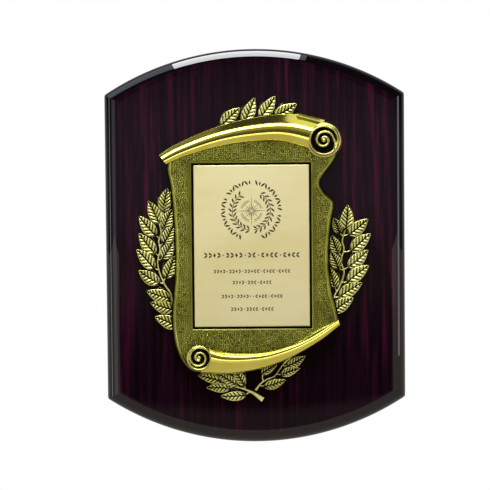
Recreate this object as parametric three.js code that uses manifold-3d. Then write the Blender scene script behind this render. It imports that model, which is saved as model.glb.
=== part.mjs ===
// A wall plaque: an arched wooden board that carries a cast scroll panel with polished rolls, two
// laurel branches and a bevelled plate, and that hangs on a keyhole hanger let into its back.
//
// Millimetres. Every piece is drawn in the plane of the board's face: x to the right, y up, and z
// out of the wall, from z = 0 on the back of the board. The whole group is turned upright at the
// end, so that +Z is up, the plaque faces -Y and its back lies in the plane Y = 0.

import * as THREE from 'three';
import { mergeVertices } from 'three/addons/utils/BufferGeometryUtils.js';
import Module from 'manifold-3d';

const wasm = await Module();
wasm.setup();

// ---------------------------------------------------------------- driving dimensions

// Joint line left between two pieces that seat against each other.
const SEAT_GAP = 0.3;

// Room left around a piece that lies in a channel, hole or pocket of another.
const SIDE_GAP = 0.3;

const board = {
  width: 241.3,
  height: 317.5,
  thickness: 20,
  archRise: 36, // height of each arch above the corners
  edgeRun: 12, // how far the rounded front edge reaches in over the face
  edgeDrop: 10, // how far it falls towards the back
  cornerCut: 2.5,
  leastCornerCut: 0.2,
};

// The cast ornament sits a little off the middle of the board.
const casting = { offsetX: -3, offsetY: 1 };

const plate = { width: 92, height: 129, thickness: 1.2, bevel: 0.6, margin: 1.9 };

const adhesive = { thickness: 0.4, inset: 5 };

const panel = {
  thickness: 8,
  edgeRound: 2.8,
  recess: 2.6, // depth of the window that the plate lies in
  hollow: 2, // depth of the hollow in the back
  rim: 7, // width of the rim left around the hollow
  underRoll: 5, // how far inside a roll's outer edge the panel stops
};

const roll = {
  rise: 6.5, // height of the crown above the line between the roll's two edges
  outerEdge: 5, // height of the outer edge over the board, clear of a leaf below it
  innerEdge: 0.9, // height of the inner edge over the panel
};

const upperVolute = { radius: 12.6, backRadius: 15.4, backHeight: 9, height: 13.5, turns: 2 };
const lowerVolute = { radius: 10.6, backRadius: 0, backHeight: 0, height: 13, turns: 1.75 };
const voluteGroove = { width: 1.6, depth: 3, eyeRadius: 2.6 };

const leaf = { width: 11, petioleWidth: 1.4, stalkShare: 0.2, thickness: 3.4 };
const stem = { width: 2.6, height: 2.4, crownShare: 0.6, stepLength: 9 };

const castingScrew = {
  shankRadius: 2,
  headRadius: 4,
  headHeight: 3,
  bite: 5.2, // thread length inside the panel's boss
  bossRadius: 5.5,
  inFromPlateSide: 16,
  outFromPlateEnd: 10.5,
};
const counterbore = { radius: 6.2, depth: 9 };
const washer = { radius: 5.4, thickness: 1 };

const rollScrew = { shankRadius: 1.5, headRadius: 2.8, headHeight: 1.6, bite: 2.6, padWall: 2.5 };

const hanger = {
  width: 17,
  height: 48,
  thickness: 1.6,
  endRadius: 5,
  belowTop: 42, // from the top of the arch to the hanger's middle
  entryRadius: 4.8,
  entryBelow: 3, // from the hanger's middle down to the entry hole
  slotWidth: 5,
  slotRise: 9,
};
const hangerScrew = { shankRadius: 1.5, headRadius: 3, headHeight: 1.4, length: 12, spacing: 37 };
const headPocket = { width: 13, above: 12, below: 9, depth: 10 };

const ROUND = 16; // facets on a round hole, shank or head
const VOLUTE_ROUND = 28;
const RECESS_SHARE = 0.6; // depth of a cross recess, as a share of the screw head's height

// ---------------------------------------------------------------- finishes

function finish(color, roughness, metalness) {
  return new THREE.MeshStandardMaterial({ color, roughness, metalness });
}

const rosewood = finish(0x2c1620, 0.18, 0);
const antiqueBrass = finish(0x6e6b34, 0.42, 1);
const polishedBrass = finish(0xb9ab52, 0.2, 1);
const satinGold = finish(0xe3d9a6, 0.34, 1);
const blackAdhesive = finish(0x17140f, 0.8, 0);
const zincSteel = finish(0xa9adb0, 0.4, 1);

// ---------------------------------------------------------------- solids

// A closed geometry as a manifold solid that can be joined and cut.
function solid(geometry) {
  const bare = geometry.clone();
  bare.deleteAttribute('normal');
  bare.deleteAttribute('uv');
  const merged = mergeVertices(bare, 1e-5);
  const vertProperties = new Float32Array(merged.attributes.position.array);
  const triVerts = new Uint32Array(merged.index.array);
  return new wasm.Manifold(new wasm.Mesh({ numProp: 3, vertProperties, triVerts }));
}

// A manifold solid back as a geometry.
function geometryOf(body) {
  const mesh = body.getMesh();
  const geometry = new THREE.BufferGeometry();
  const step = mesh.numProp;
  const count = mesh.vertProperties.length / step;
  const position = new Float32Array(count * 3);
  for (let i = 0; i < count; i += 1) {
    position.set(mesh.vertProperties.slice(i * step, i * step + 3), i * 3);
  }
  geometry.setAttribute('position', new THREE.BufferAttribute(position, 3));
  geometry.setIndex(new THREE.BufferAttribute(new Uint32Array(mesh.triVerts), 1));
  geometry.computeVertexNormals();
  return geometry;
}

function join(bodies) {
  return bodies.reduce((sum, body) => sum.add(body));
}

// A prism of an outline in the face plane, from one height to another.
function prism(outline, low, high) {
  const options = { depth: high - low, bevelEnabled: false };
  const geometry = new THREE.ExtrudeGeometry(new THREE.Shape(outline), options);
  return solid(geometry.translate(0, 0, low));
}

function disc(radius, low, high, x = 0, y = 0, facets = ROUND) {
  const geometry = new THREE.CylinderGeometry(radius, radius, high - low, facets);
  return solid(geometry.rotateX(Math.PI / 2).translate(x, y, (low + high) / 2));
}

function rectangle(width, height, x = 0, y = 0) {
  const w = width / 2;
  const h = height / 2;
  return [
    new THREE.Vector2(x - w, y - h),
    new THREE.Vector2(x + w, y - h),
    new THREE.Vector2(x + w, y + h),
    new THREE.Vector2(x - w, y + h),
  ];
}

// A closed body through rings of equal size, each a list of points in order.
function loft(rings) {
  const size = rings[0].length;
  const position = rings.flat().flatMap((point) => [point.x, point.y, point.z]);
  const index = [];
  for (let i = 0; i + 1 < rings.length; i += 1) {
    for (let j = 0; j < size; j += 1) {
      const a = i * size + j;
      const b = i * size + ((j + 1) % size);
      index.push(a, b, b + size, a, b + size, a + size);
    }
  }
  for (const [ring, start] of [[rings[0], 0], [rings.at(-1), (rings.length - 1) * size]]) {
    const flat = ring.map((point) => ringPlane(ring, point));
    for (const [a, b, c] of THREE.ShapeUtils.triangulateShape(flat, [])) {
      const triangle = start === 0 ? [c, b, a] : [a, b, c];
      index.push(...triangle.map((corner) => start + corner));
    }
  }
  const geometry = new THREE.BufferGeometry();
  geometry.setAttribute('position', new THREE.Float32BufferAttribute(position, 3));
  geometry.setIndex(index);
  return solid(outward(geometry));
}

// A ring's point in the ring's own plane, for triangulating its cap.
function ringPlane(ring, point) {
  const across = ring[1].clone().sub(ring[0]).normalize();
  const normal = new THREE.Vector3();
  for (let i = 0; i < ring.length; i += 1) {
    normal.add(ring[i].clone().cross(ring[(i + 1) % ring.length]));
  }
  const up = normal.normalize().cross(across);
  return new THREE.Vector2(point.dot(across), point.dot(up));
}

// Turns the faces out if the body came out inside out.
function outward(geometry) {
  const at = geometry.attributes.position;
  const index = geometry.index.array;
  const corner = [new THREE.Vector3(), new THREE.Vector3(), new THREE.Vector3()];
  let volume = 0;
  for (let i = 0; i < index.length; i += 3) {
    corner.forEach((point, k) => point.fromBufferAttribute(at, index[i + k]));
    volume += corner[0].dot(corner[1].clone().cross(corner[2]));
  }
  if (volume < 0) {
    for (let i = 0; i < index.length; i += 3) {
      [index[i], index[i + 1]] = [index[i + 1], index[i]];
    }
  }
  return geometry;
}

function smooth(points, count, closed = false) {
  const knots = points.map((point) => new THREE.Vector3(point.x, point.y, 0));
  const curve = new THREE.CatmullRomCurve3(knots, closed, 'centripetal');
  const places = curve.getSpacedPoints(count);
  if (closed) places.pop();
  return places.map((place) => new THREE.Vector2(place.x, place.y));
}

// An outline moved out (or in, where the distance is negative) along its own normals.
function grown(outline, distance) {
  const size = outline.length;
  return outline.map((point, i) => {
    const before = outline[(i + size - 1) % size];
    const after = outline[(i + 1) % size];
    const along = after.clone().sub(before).normalize();
    const sign = THREE.ShapeUtils.isClockWise(outline) ? -1 : 1;
    return new THREE.Vector2(point.x + along.y * distance * sign, point.y - along.x * distance * sign);
  });
}

// ---------------------------------------------------------------- places on the casting

// A point of the casting: a share of the way from the plate's middle to its edge, across and up,
// and then a fixed distance on from there.
function spot(shareX, beyondX, shareY, beyondY) {
  return new THREE.Vector2(shareX * plate.width / 2 + beyondX, shareY * plate.height / 2 + beyondY);
}

const upperRollEdges = {
  outer: [
    spot(-1, -27.5, 1, 8.8),
    spot(-1, -15.2, 1, 16.3),
    spot(-0.57, 0, 1, 30.9),
    spot(0.2, 0, 1, 38.8),
    spot(0.8, 0, 1, 40.1),
    spot(1, 13, 1, 35.5),
  ],
  inner: [
    spot(-1, -21.5, 1, 1),
    spot(-1, -7.5, 1, 6.7),
    spot(-0.5, 0, 1, 14.9),
    spot(0.05, 0, 1, 18),
    spot(0.5, 0, 1, 18),
    spot(1, 3, 1, 11),
  ],
};

const lowerRollEdges = {
  outer: [
    spot(-1, 4, -1, -38),
    spot(-0.42, 0, -1, -38.4),
    spot(0.14, 0, -1, -34.3),
    spot(0.62, 0, -1, -26.3),
    spot(1, 8, -1, -12),
    spot(1, 24, -1, 0.5),
  ],
  inner: [
    spot(-1, 8, -1, -14.6),
    spot(-0.53, 0, -1, -19.6),
    spot(0.14, 0, -1, -20.9),
    spot(0.5, 0, -1, -17.6),
    spot(1, -3.5, -1, -10.8),
    spot(1, 22.6, -1, 4.8),
  ],
};

const upperVoluteCentre = spot(1, 11.9, 1, 19.3);
const lowerVoluteCentre = spot(-1, 3.2, -1, -24.4);

// The panel's own edge, clockwise from its top left corner; it runs under both rolls.
function panelOutline() {
  const under = panel.underRoll;
  const right = [
    spot(1, 24, 1, 17),
    spot(1, 22.5, 1, 6),
    spot(1, 11.7, 1, -9.7),
    spot(1, 9.4, 1, -14.5),
    spot(1, 12.3, 1, -21),
    spot(1, 20.2, 1, -29.5),
    spot(1, 18, 0.28, 0),
    spot(1, 16, -0.12, 0),
    spot(1, 17.8, -0.53, 0),
    spot(1, 22.6, -0.84, 0),
    spot(1, 23.4, -1, 3),
  ];
  const left = [
    spot(-1, 0.1, -1, -37.4),
    spot(-1, -9, -1, -31),
    spot(-1, -16, -1, -16.5),
    spot(-1, -18.7, -0.88, 0),
    spot(-1, -16.2, -0.37, 0),
    spot(-1, -16, 0.12, 0),
    spot(-1, -18.6, 0.7, 0),
  ];
  const top = [
    spot(-1, -21.5, 1, 1),
    spot(-1, -15, 1, 16.3 - under),
    spot(-0.57, 0, 1, 30.9 - under),
    spot(0.2, 0, 1, 38.8 - under),
    spot(0.8, 0, 1, 40.1 - under),
    spot(1, 12, 1, 35 - under),
  ];
  const bottom = [
    spot(1, 7, -1, -12 + under),
    spot(0.62, 0, -1, -26.3 + under),
    spot(0.14, 0, -1, -34.3 + under),
    spot(-0.42, 0, -1, -38.4 + under),
  ];
  return smooth([...top, ...right, ...bottom, ...left], 104, true);
}

// ---------------------------------------------------------------- backing board

// The board's outline with its edge moved in: two arches, two straight sides, four cut corners.
function boardOutline(inset) {
  const half = board.width / 2;
  const arch = (half * half + board.archRise * board.archRise) / (2 * board.archRise);
  const reach = half - inset;
  const radius = arch - inset;
  const cut = Math.max(board.cornerCut - inset, board.leastCornerCut);
  const centreY = board.height / 2 - arch;
  const cornerY = centreY + Math.sqrt(radius * radius - reach * reach);
  const sweep = Math.asin((reach - cut) / radius);
  const steps = 22;
  const top = [];
  for (let i = 0; i <= steps; i += 1) {
    const turn = sweep * (1 - (2 * i) / steps);
    top.push(new THREE.Vector2(radius * Math.sin(turn), centreY + radius * Math.cos(turn)));
  }
  const sideTop = cornerY - cut;
  const upper = [new THREE.Vector2(reach, sideTop), ...top, new THREE.Vector2(-reach, sideTop)];
  const lower = upper.map((point) => new THREE.Vector2(-point.x, -point.y));
  return [...upper, ...lower];
}

function boardBlank() {
  const steps = 6;
  const levels = [[0, 0], [0, board.thickness - board.edgeDrop]];
  for (let i = 1; i <= steps; i += 1) {
    const turn = (i / steps) * (Math.PI / 2);
    const inset = board.edgeRun * (1 - Math.cos(turn));
    levels.push([inset, board.thickness - board.edgeDrop * (1 - Math.sin(turn))]);
  }
  return loft(levels.map(([inset, z]) => boardOutline(inset).map((p) => new THREE.Vector3(p.x, p.y, z))));
}

function hangerCentreY() {
  return board.height / 2 - hanger.belowTop;
}

// Where the four screws that hold the casting pass, in the board's own coordinates.
function castingScrewPlaces() {
  const x = plate.width / 2 - castingScrew.inFromPlateSide;
  const y = plate.height / 2 + castingScrew.outFromPlateEnd;
  const corners = [[-x, y], [x, y], [-x, -y], [x, -y]];
  return corners.map(([dx, dy]) => new THREE.Vector2(casting.offsetX + dx, casting.offsetY + dy));
}

function hangerScrewPlaces() {
  return [-1, 1].map((side) => new THREE.Vector2(0, hangerCentreY() + (side * hangerScrew.spacing) / 2));
}

function hangerOutline(grow) {
  const radius = hanger.endRadius + grow;
  const x = hanger.width / 2 + grow - radius;
  const y = hanger.height / 2 + grow - radius;
  const shape = new THREE.Shape();
  shape.absarc(x, y, radius, 0, Math.PI / 2);
  shape.absarc(-x, y, radius, Math.PI / 2, Math.PI);
  shape.absarc(-x, -y, radius, Math.PI, Math.PI * 1.5);
  shape.absarc(x, -y, radius, Math.PI * 1.5, Math.PI * 2);
  return shape.extractPoints(4).shape.slice(0, -1).map((p) => p.setY(p.y + hangerCentreY()));
}

function backingBoard() {
  const y = hangerCentreY();
  const pocketHeight = headPocket.above + headPocket.below;
  const pocketY = y + (headPocket.above - headPocket.below) / 2;
  const hangerDepth = SEAT_GAP + hanger.thickness + SEAT_GAP;
  const cuts = [
    prism(hangerOutline(SIDE_GAP), -1, hangerDepth),
    prism(rectangle(headPocket.width, pocketHeight, 0, pocketY), -1, headPocket.depth),
  ];
  for (const place of hangerScrewPlaces()) {
    cuts.push(disc(hangerScrew.shankRadius + SIDE_GAP, -1, hangerScrew.length + 1, place.x, place.y, 12));
  }
  for (const place of castingScrewPlaces()) {
    cuts.push(disc(counterbore.radius, -1, counterbore.depth, place.x, place.y));
    cuts.push(disc(castingScrew.shankRadius + SIDE_GAP, -1, board.thickness + 1, place.x, place.y));
  }
  return boardBlank().subtract(join(cuts));
}

// ---------------------------------------------------------------- laurel branches

// A leaf's half width at a share of its blade's length, widest at two fifths.
function bladeHalfWidth(share, width) {
  return (width / 2) * Math.sin(Math.PI * share ** 0.76);
}

// A leaf's outline along +x from its blade's foot at the origin.
function leafOutline(length, grow) {
  const neck = leaf.petioleWidth / 2 + grow;
  const half = [new THREE.Vector2(-grow, neck)];
  for (const share of [0.12, 0.3, 0.52, 0.76]) {
    half.push(new THREE.Vector2(share * length, bladeHalfWidth(share, leaf.width) + grow));
  }
  const tip = new THREE.Vector2(length + 2 * grow, 0);
  const mirrored = half.map((point) => new THREE.Vector2(point.x, -point.y));
  return [...mirrored, tip, ...half.reverse()];
}

function leafBody(foot, degrees, length, grow) {
  const turn = THREE.MathUtils.degToRad(degrees);
  const middle = new THREE.Vector2();
  const outline = leafOutline(length, grow).map((point) => point.rotateAround(middle, turn).add(foot));
  return prism(outline, -grow, leaf.thickness + grow);
}

function stemCurve(points) {
  const knots = points.map((point) => new THREE.Vector3(point.x, point.y, 0));
  return new THREE.CatmullRomCurve3(knots, false, 'centripetal');
}

// A stem lying on the board: a rod with a flat back that follows a curve.
function stemBody(curve, width, grow) {
  const steps = Math.max(Math.round(curve.getLength() / stem.stepLength), 1);
  const half = width / 2 + grow;
  const top = stem.height + grow;
  const crown = stem.crownShare;
  const section = [[-1, -grow], [1, -grow], [crown, top], [-crown, top]];
  const rings = [];
  for (let i = 0; i <= steps; i += 1) {
    const at = curve.getPointAt(i / steps);
    const across = curve.getTangentAt(i / steps).multiplyScalar(half);
    rings.push(section.map(([side, z]) => {
      const x = at.x - across.y * side;
      const y = at.y + across.x * side;
      return new THREE.Vector3(x, y, z);
    }));
  }
  return loft(rings);
}

// The place on a stem nearest to a point.
function nearest(curve, point) {
  const places = curve.getSpacedPoints(Math.round(curve.getLength() * 2));
  const flat = places.map((place) => new THREE.Vector2(place.x, place.y));
  return flat.reduce((best, place) => (place.distanceTo(point) < best.distanceTo(point) ? place : best));
}

// The sprigs of the two branches. Points and leaves are measured from a sprig's own anchor, and a
// leaf is [x, y of its blade's foot, the way it points in degrees, its blade's length].
const leftSide = {
  anchor: spot(-1, -27, 0, 0),
  stem: [
    [11, -60],
    [7.4, -37.5],
    [3.5, -31.7],
    [-1, -20.9],
    [-2.6, -12.7],
    [-0.5, -2.9],
    [-1.4, 4.5],
    [0.4, 10.4],
    [-0.6, 17.7],
  ],
  leaves: [
    [13.5, -65, 155, 21],
    [11, -51.3, 162, 21],
    [7.6, -42, 162, 20.5],
    [-0.8, -29.9, 148, 20.5],
    [-5, -18.5, 131, 22],
    [-4, -6.2, 128, 22],
    [-3.4, 8.3, 130, 21.5],
    [-0.8, 17.7, 115, 21],
    [3.8, -26, 69, 20],
    [1, -10.3, 59, 18],
    [2.2, 2, 61, 18],
    [2.4, 13.5, 66, 18],
    [2.6, 27.2, 80, 20],
  ],
};

const rightSide = {
  anchor: spot(1, 27, 0, 0),
  stem: [
    [-10, -55],
    [-7, -40.7],
    [-3, -33.7],
    [0.8, -22.3],
    [-1.4, -13],
    [0.8, -2.9],
    [-0.4, 3],
    [1, 9.1],
    [2.2, 12.5],
  ],
  leaves: [
    [-9, -54, 34, 21],
    [-3.8, -42.4, 32, 23],
    [3, -30.4, 38, 23],
    [3.8, -18.4, 41, 22],
    [6.2, -5.7, 42, 22],
    [4.2, 7.7, 39, 21],
    [2.2, 11.6, 85, 21],
    [-6.4, -35, 104, 18],
    [-3.6, -19.7, 113, 16],
    [-3.6, -6.9, 110, 16],
    [-2.5, 9, 111, 14],
  ],
};

const top = {
  anchor: spot(0, 0, 1, 35.5),
  stem: [[-38, -18], [-26, -7], [-8, -3], [8, 0], [20, 2.4]],
  leaves: [
    [-24, -4.9, 44, 22],
    [0.5, -1, 70, 21],
    [-6.1, -2.4, 65.5, 23],
    [13, 0.5, 64, 19],
    [7.1, 1.5, 55, 22],
    [18.4, 2.7, 29, 21.5],
  ],
};

const bottomLeft = {
  anchor: spot(0, 0, -1, -50.5),
  stem: [[8, -9.3], [-0.8, -3.2], [-8, -0.2], [-18.1, 2.8], [-26, 8]],
  leaves: [
    [-25.3, 6, 165, 20],
    [-18.1, 0, 177, 20],
    [-5.1, -5.2, 182, 21.5],
    [-12.4, 2.1, 147, 18],
    [-6.5, 2, 123, 18],
  ],
};

const bottomRight = {
  anchor: spot(0, 0, -1, -50.5),
  stem: [[2.2, -1.4], [6.5, 4.1], [10.9, 6.9], [17.4, 9.8], [20.3, 13.4], [25, 20]],
  leaves: [
    [27.2, 17.6, 29, 17.5],
    [22.3, 10.5, 20, 17],
    [8.6, 1.2, 17.5, 19],
    [6.6, 11.4, 32, 16],
  ],
};

function placed(sprig, [x, y]) {
  return new THREE.Vector2(sprig.anchor.x + x, sprig.anchor.y + y);
}

// A sprig: its stem, its leaves, and a short stalk from the stem to each leaf.
function sprigBodies(sprig, grow) {
  const curve = stemCurve(sprig.stem.map((point) => placed(sprig, point)));
  const bodies = [stemBody(curve, stem.width, grow)];
  for (const [x, y, degrees, length] of sprig.leaves) {
    const foot = placed(sprig, [x, y]);
    const root = nearest(curve, foot);
    const turn = THREE.MathUtils.degToRad(degrees);
    const along = new THREE.Vector2(Math.cos(turn), Math.sin(turn));
    const inside = along.multiplyScalar(length * leaf.stalkShare).add(foot);
    bodies.push(stemBody(stemCurve([root, inside]), leaf.petioleWidth, grow));
    bodies.push(leafBody(foot, degrees, length, grow));
  }
  return bodies;
}

// The bare stem that runs under the panel from one sprig's end to the next one's start.
function linkBody(points, grow) {
  return stemBody(stemCurve(points), stem.width, grow);
}

function startOf(sprig) {
  return placed(sprig, sprig.stem[0]);
}

function endOf(sprig) {
  return placed(sprig, sprig.stem.at(-1));
}

// A whole branch, or with some room around it the space that it needs in a piece above it.
function leftBranch(grow) {
  const lowerLink = [endOf(bottomLeft), spot(-1, -2, -1, -21), startOf(leftSide)];
  const upperLink = [endOf(leftSide), spot(-1, -22, 0.56, 0), startOf(top)];
  const links = [linkBody(lowerLink, grow), linkBody(upperLink, grow)];
  return join([...links, ...[bottomLeft, leftSide, top].flatMap((sprig) => sprigBodies(sprig, grow))]);
}

function rightBranch(grow) {
  const link = linkBody([endOf(bottomRight), spot(1, 1, -1, -10), startOf(rightSide)], grow);
  return join([link, ...[bottomRight, rightSide].flatMap((sprig) => sprigBodies(sprig, grow))]);
}

const laurelRoom = leftBranch(SIDE_GAP).add(rightBranch(SIDE_GAP));

// ---------------------------------------------------------------- scroll panel and rolls

// Where the screws from behind the panel enter the rolls.
function rollScrewPlaces() {
  return {
    upper: [spot(-0.3, 0, 1, 23.5), spot(0.6, 0, 1, 27)],
    lower: [spot(-0.45, 0, -1, -28.5), spot(0.12, 0, -1, -26)],
  };
}

function castingBossPlaces() {
  return castingScrewPlaces().map((p) => new THREE.Vector2(p.x - casting.offsetX, p.y - casting.offsetY));
}

function windowSize() {
  return { width: plate.width + 2 * plate.margin, height: plate.height + 2 * plate.margin };
}

// A raised slab with a rounded front edge, standing on z = 0.
function roundedSlab(outline, thickness, round) {
  const options = {
    depth: thickness - round + 1,
    bevelEnabled: true,
    bevelThickness: round,
    bevelSize: round,
    bevelOffset: -round,
    bevelSegments: 3,
  };
  const geometry = new THREE.ExtrudeGeometry(new THREE.Shape(outline), options);
  return solid(geometry.translate(0, 0, -1)).subtract(spaceBelow());
}

// Everything below z = 0, within the reach of any piece.
function spaceBelow() {
  const reach = 1000;
  return prism(rectangle(reach, reach), -50, 0);
}

function panelHollow(outline) {
  const low = -2;
  const high = panel.thickness;
  const padRadius = rollScrew.headRadius + rollScrew.padWall;
  const bosses = castingBossPlaces().map((p) => disc(castingScrew.bossRadius, low, high, p.x, p.y));
  const screws = Object.values(rollScrewPlaces()).flat();
  const pads = screws.map((p) => disc(padRadius, low, high, p.x, p.y));
  return prism(grown(outline, -panel.rim), -1, panel.hollow).subtract(join([...bosses, ...pads]));
}

function rollScrewSeat() {
  return SEAT_GAP + rollScrew.headHeight + SEAT_GAP;
}

function scrollPanel() {
  const outline = panelOutline();
  const size = windowSize();
  const cuts = [
    prism(rectangle(size.width, size.height), panel.thickness - panel.recess, panel.thickness + 1),
    panelHollow(outline),
    laurelRoom,
  ];
  const castingHole = castingScrew.shankRadius + SIDE_GAP;
  for (const place of castingBossPlaces()) {
    cuts.push(disc(castingHole, -1, castingScrew.bite + SEAT_GAP, place.x, place.y));
  }
  for (const place of Object.values(rollScrewPlaces()).flat()) {
    cuts.push(disc(rollScrew.headRadius + SIDE_GAP, -1, rollScrewSeat(), place.x, place.y));
    cuts.push(disc(rollScrew.shankRadius + SIDE_GAP, -1, panel.thickness + 1, place.x, place.y, 12));
  }
  return roundedSlab(outline, panel.thickness, panel.edgeRound).subtract(join(cuts));
}

// The crowned band between a roll's inner edge, on the panel, and its outer edge, by the board.
function rollBand(edges) {
  const steps = 20;
  const across = 7;
  const outer = smooth(edges.outer, steps);
  const inner = smooth(edges.inner, steps);
  const rings = outer.map((far, i) => {
    const near = inner[i];
    const ring = [new THREE.Vector3(far.x, far.y, 0), new THREE.Vector3(near.x, near.y, 0)];
    for (let j = 0; j <= across; j += 1) {
      const share = j / across;
      const crown = roll.rise * Math.sqrt(1 - (2 * share - 1) ** 2);
      const chord = THREE.MathUtils.lerp(panel.thickness + roll.innerEdge, roll.outerEdge, share);
      ring.push(new THREE.Vector3().lerpVectors(ring[1], ring[0], share).setZ(chord + crown));
    }
    return ring;
  });
  return loft(rings);
}

// A spiral groove in the top of a volute.
function spiralGroove(centre, volute) {
  const steps = Math.round(volute.turns * 12);
  const first = volute.radius - voluteGroove.width * 1.6;
  const half = voluteGroove.width / 2;
  const rings = [];
  for (let i = 0; i <= steps; i += 1) {
    const share = i / steps;
    const radius = THREE.MathUtils.lerp(first, voluteGroove.eyeRadius + half, share);
    const turn = share * volute.turns * Math.PI * 2;
    const low = volute.height - voluteGroove.depth;
    const corners = [[-half, low], [half, low], [half, volute.height + 1], [-half, volute.height + 1]];
    rings.push(corners.map(([off, z]) => new THREE.Vector3(
      centre.x + (radius + off) * Math.cos(turn),
      centre.y + (radius + off) * Math.sin(turn),
      z,
    )));
  }
  return loft(rings);
}

function voluteBody(centre, volute) {
  const { radius, height, backRadius, backHeight } = volute;
  const parts = [disc(radius, 0, height, centre.x, centre.y, VOLUTE_ROUND)];
  if (backRadius > 0) parts.push(disc(backRadius, 0, backHeight, centre.x, centre.y, VOLUTE_ROUND));
  return join(parts).subtract(spiralGroove(centre, volute));
}

// The space that the panel and the branches take below a roll.
function roomUnderRolls() {
  const outline = grown(panelOutline(), SIDE_GAP);
  return prism(outline, -1, panel.thickness + SEAT_GAP).add(laurelRoom);
}

function scrollRoll(edges, centre, volute, screwPlaces) {
  const holes = screwPlaces.map((p) => disc(
    rollScrew.shankRadius + SIDE_GAP,
    0,
    panel.thickness + SEAT_GAP + rollScrew.bite + SEAT_GAP,
    p.x,
    p.y,
    12,
  ));
  const body = rollBand(edges).add(voluteBody(centre, volute));
  return body.subtract(roomUnderRolls()).subtract(join(holes));
}

// ---------------------------------------------------------------- plate

function engravedPlate() {
  const options = {
    depth: plate.thickness - plate.bevel,
    bevelEnabled: true,
    bevelThickness: plate.bevel,
    bevelSize: plate.bevel,
    bevelOffset: -plate.bevel,
    bevelSegments: 1,
  };
  const shape = new THREE.Shape(rectangle(plate.width, plate.height));
  return solid(new THREE.ExtrudeGeometry(shape, options)).subtract(spaceBelow());
}

function plateAdhesive() {
  const width = plate.width - 2 * adhesive.inset;
  const height = plate.height - 2 * adhesive.inset;
  return prism(rectangle(width, height), 0, adhesive.thickness);
}

// ---------------------------------------------------------------- fasteners and hanger

// A body turned about z from a profile of [radius, z] pairs that starts and ends on the axis.
function turned(profile, facets = ROUND) {
  const points = profile.map(([radius, z]) => new THREE.Vector2(radius, z));
  const lathe = new THREE.LatheGeometry(points, facets).rotateX(Math.PI / 2);
  return solid(outward(mergeVertices(bareOf(lathe), 1e-5)));
}

function bareOf(geometry) {
  geometry.deleteAttribute('normal');
  geometry.deleteAttribute('uv');
  return geometry;
}

// A cross recess in a head whose face lies at z = 0.
function crossRecess(headRadius, depth) {
  const bar = headRadius * 1.1;
  const width = headRadius * 0.26;
  return join([
    prism(rectangle(bar, width), -1, depth),
    prism(rectangle(width, bar), -1, depth),
  ]);
}

// A machine screw with a pan head: the head's face at z = 0, the thread along +z.
function panScrew({ shankRadius, headRadius, headHeight }, shankLength) {
  const end = headHeight + shankLength;
  const profile = [
    [0, 0],
    [headRadius * 0.8, 0],
    [headRadius, headHeight * 0.35],
    [headRadius, headHeight],
    [shankRadius, headHeight],
    [shankRadius, end - 0.5],
    [shankRadius - 0.5, end],
    [0, end],
  ];
  return turned(profile).subtract(crossRecess(headRadius, headHeight * RECESS_SHARE));
}

// A countersunk wood screw, or with some room around it the hole for its head.
function woodScrewProfile({ shankRadius, headRadius, headHeight, length }, grow = 0) {
  return [
    [0, -grow],
    [headRadius + grow, -grow],
    [shankRadius + grow, headHeight],
    [shankRadius + grow, length - 3],
    [0, length],
  ];
}

function woodScrew(size) {
  const recess = crossRecess(size.headRadius, size.headHeight * RECESS_SHARE);
  return turned(woodScrewProfile(size)).subtract(recess);
}

function washerBody() {
  const hole = disc(castingScrew.shankRadius + SIDE_GAP, -1, washer.thickness + 1);
  return disc(washer.radius, 0, washer.thickness).subtract(hole);
}

// The hanger: a steel strip with a keyhole, wide below and narrow above.
function hangerPlate() {
  const y = hangerCentreY();
  const low = SEAT_GAP;
  const high = SEAT_GAP + hanger.thickness;
  const entryY = y - hanger.entryBelow;
  const cuts = [
    disc(hanger.entryRadius, -1, high + 1, 0, entryY),
    prism(rectangle(hanger.slotWidth, hanger.slotRise, 0, entryY + hanger.slotRise / 2), -1, high + 1),
  ];
  const hole = turned(woodScrewProfile(hangerScrew, SIDE_GAP));
  for (const place of hangerScrewPlaces()) cuts.push(hole.translate(place.x, place.y, SEAT_GAP));
  return prism(hangerOutline(0), low, high).subtract(join(cuts));
}

// ---------------------------------------------------------------- assembly

const plaque = new THREE.Group();
plaque.rotation.x = Math.PI / 2;

// The casting and all that it carries stand on the face of the board.
const castingGroup = new THREE.Group();
castingGroup.position.set(casting.offsetX, casting.offsetY, board.thickness + SEAT_GAP);
plaque.add(castingGroup);

function piece(parent, name, body, material, x = 0, y = 0, z = 0) {
  const mesh = new THREE.Mesh(geometryOf(body), material);
  mesh.name = name;
  mesh.position.set(x, y, z);
  parent.add(mesh);
}

piece(plaque, 'backing_board', backingBoard(), rosewood);

piece(castingGroup, 'laurel_branch_left', leftBranch(0), antiqueBrass);
piece(castingGroup, 'laurel_branch_right', rightBranch(0), antiqueBrass);
piece(castingGroup, 'scroll_panel', scrollPanel(), antiqueBrass);

const rollScrews = rollScrewPlaces();
const upperRoll = scrollRoll(upperRollEdges, upperVoluteCentre, upperVolute, rollScrews.upper);
const lowerRoll = scrollRoll(lowerRollEdges, lowerVoluteCentre, lowerVolute, rollScrews.lower);
piece(castingGroup, 'upper_scroll_roll', upperRoll, polishedBrass);
piece(castingGroup, 'lower_scroll_roll', lowerRoll, polishedBrass);

const recessFloor = panel.thickness - panel.recess;
const plateSeat = recessFloor + SEAT_GAP + adhesive.thickness + SEAT_GAP;
piece(castingGroup, 'plate_adhesive', plateAdhesive(), blackAdhesive, 0, 0, recessFloor + SEAT_GAP);
piece(castingGroup, 'engraved_plate', engravedPlate(), satinGold, 0, 0, plateSeat);

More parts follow.
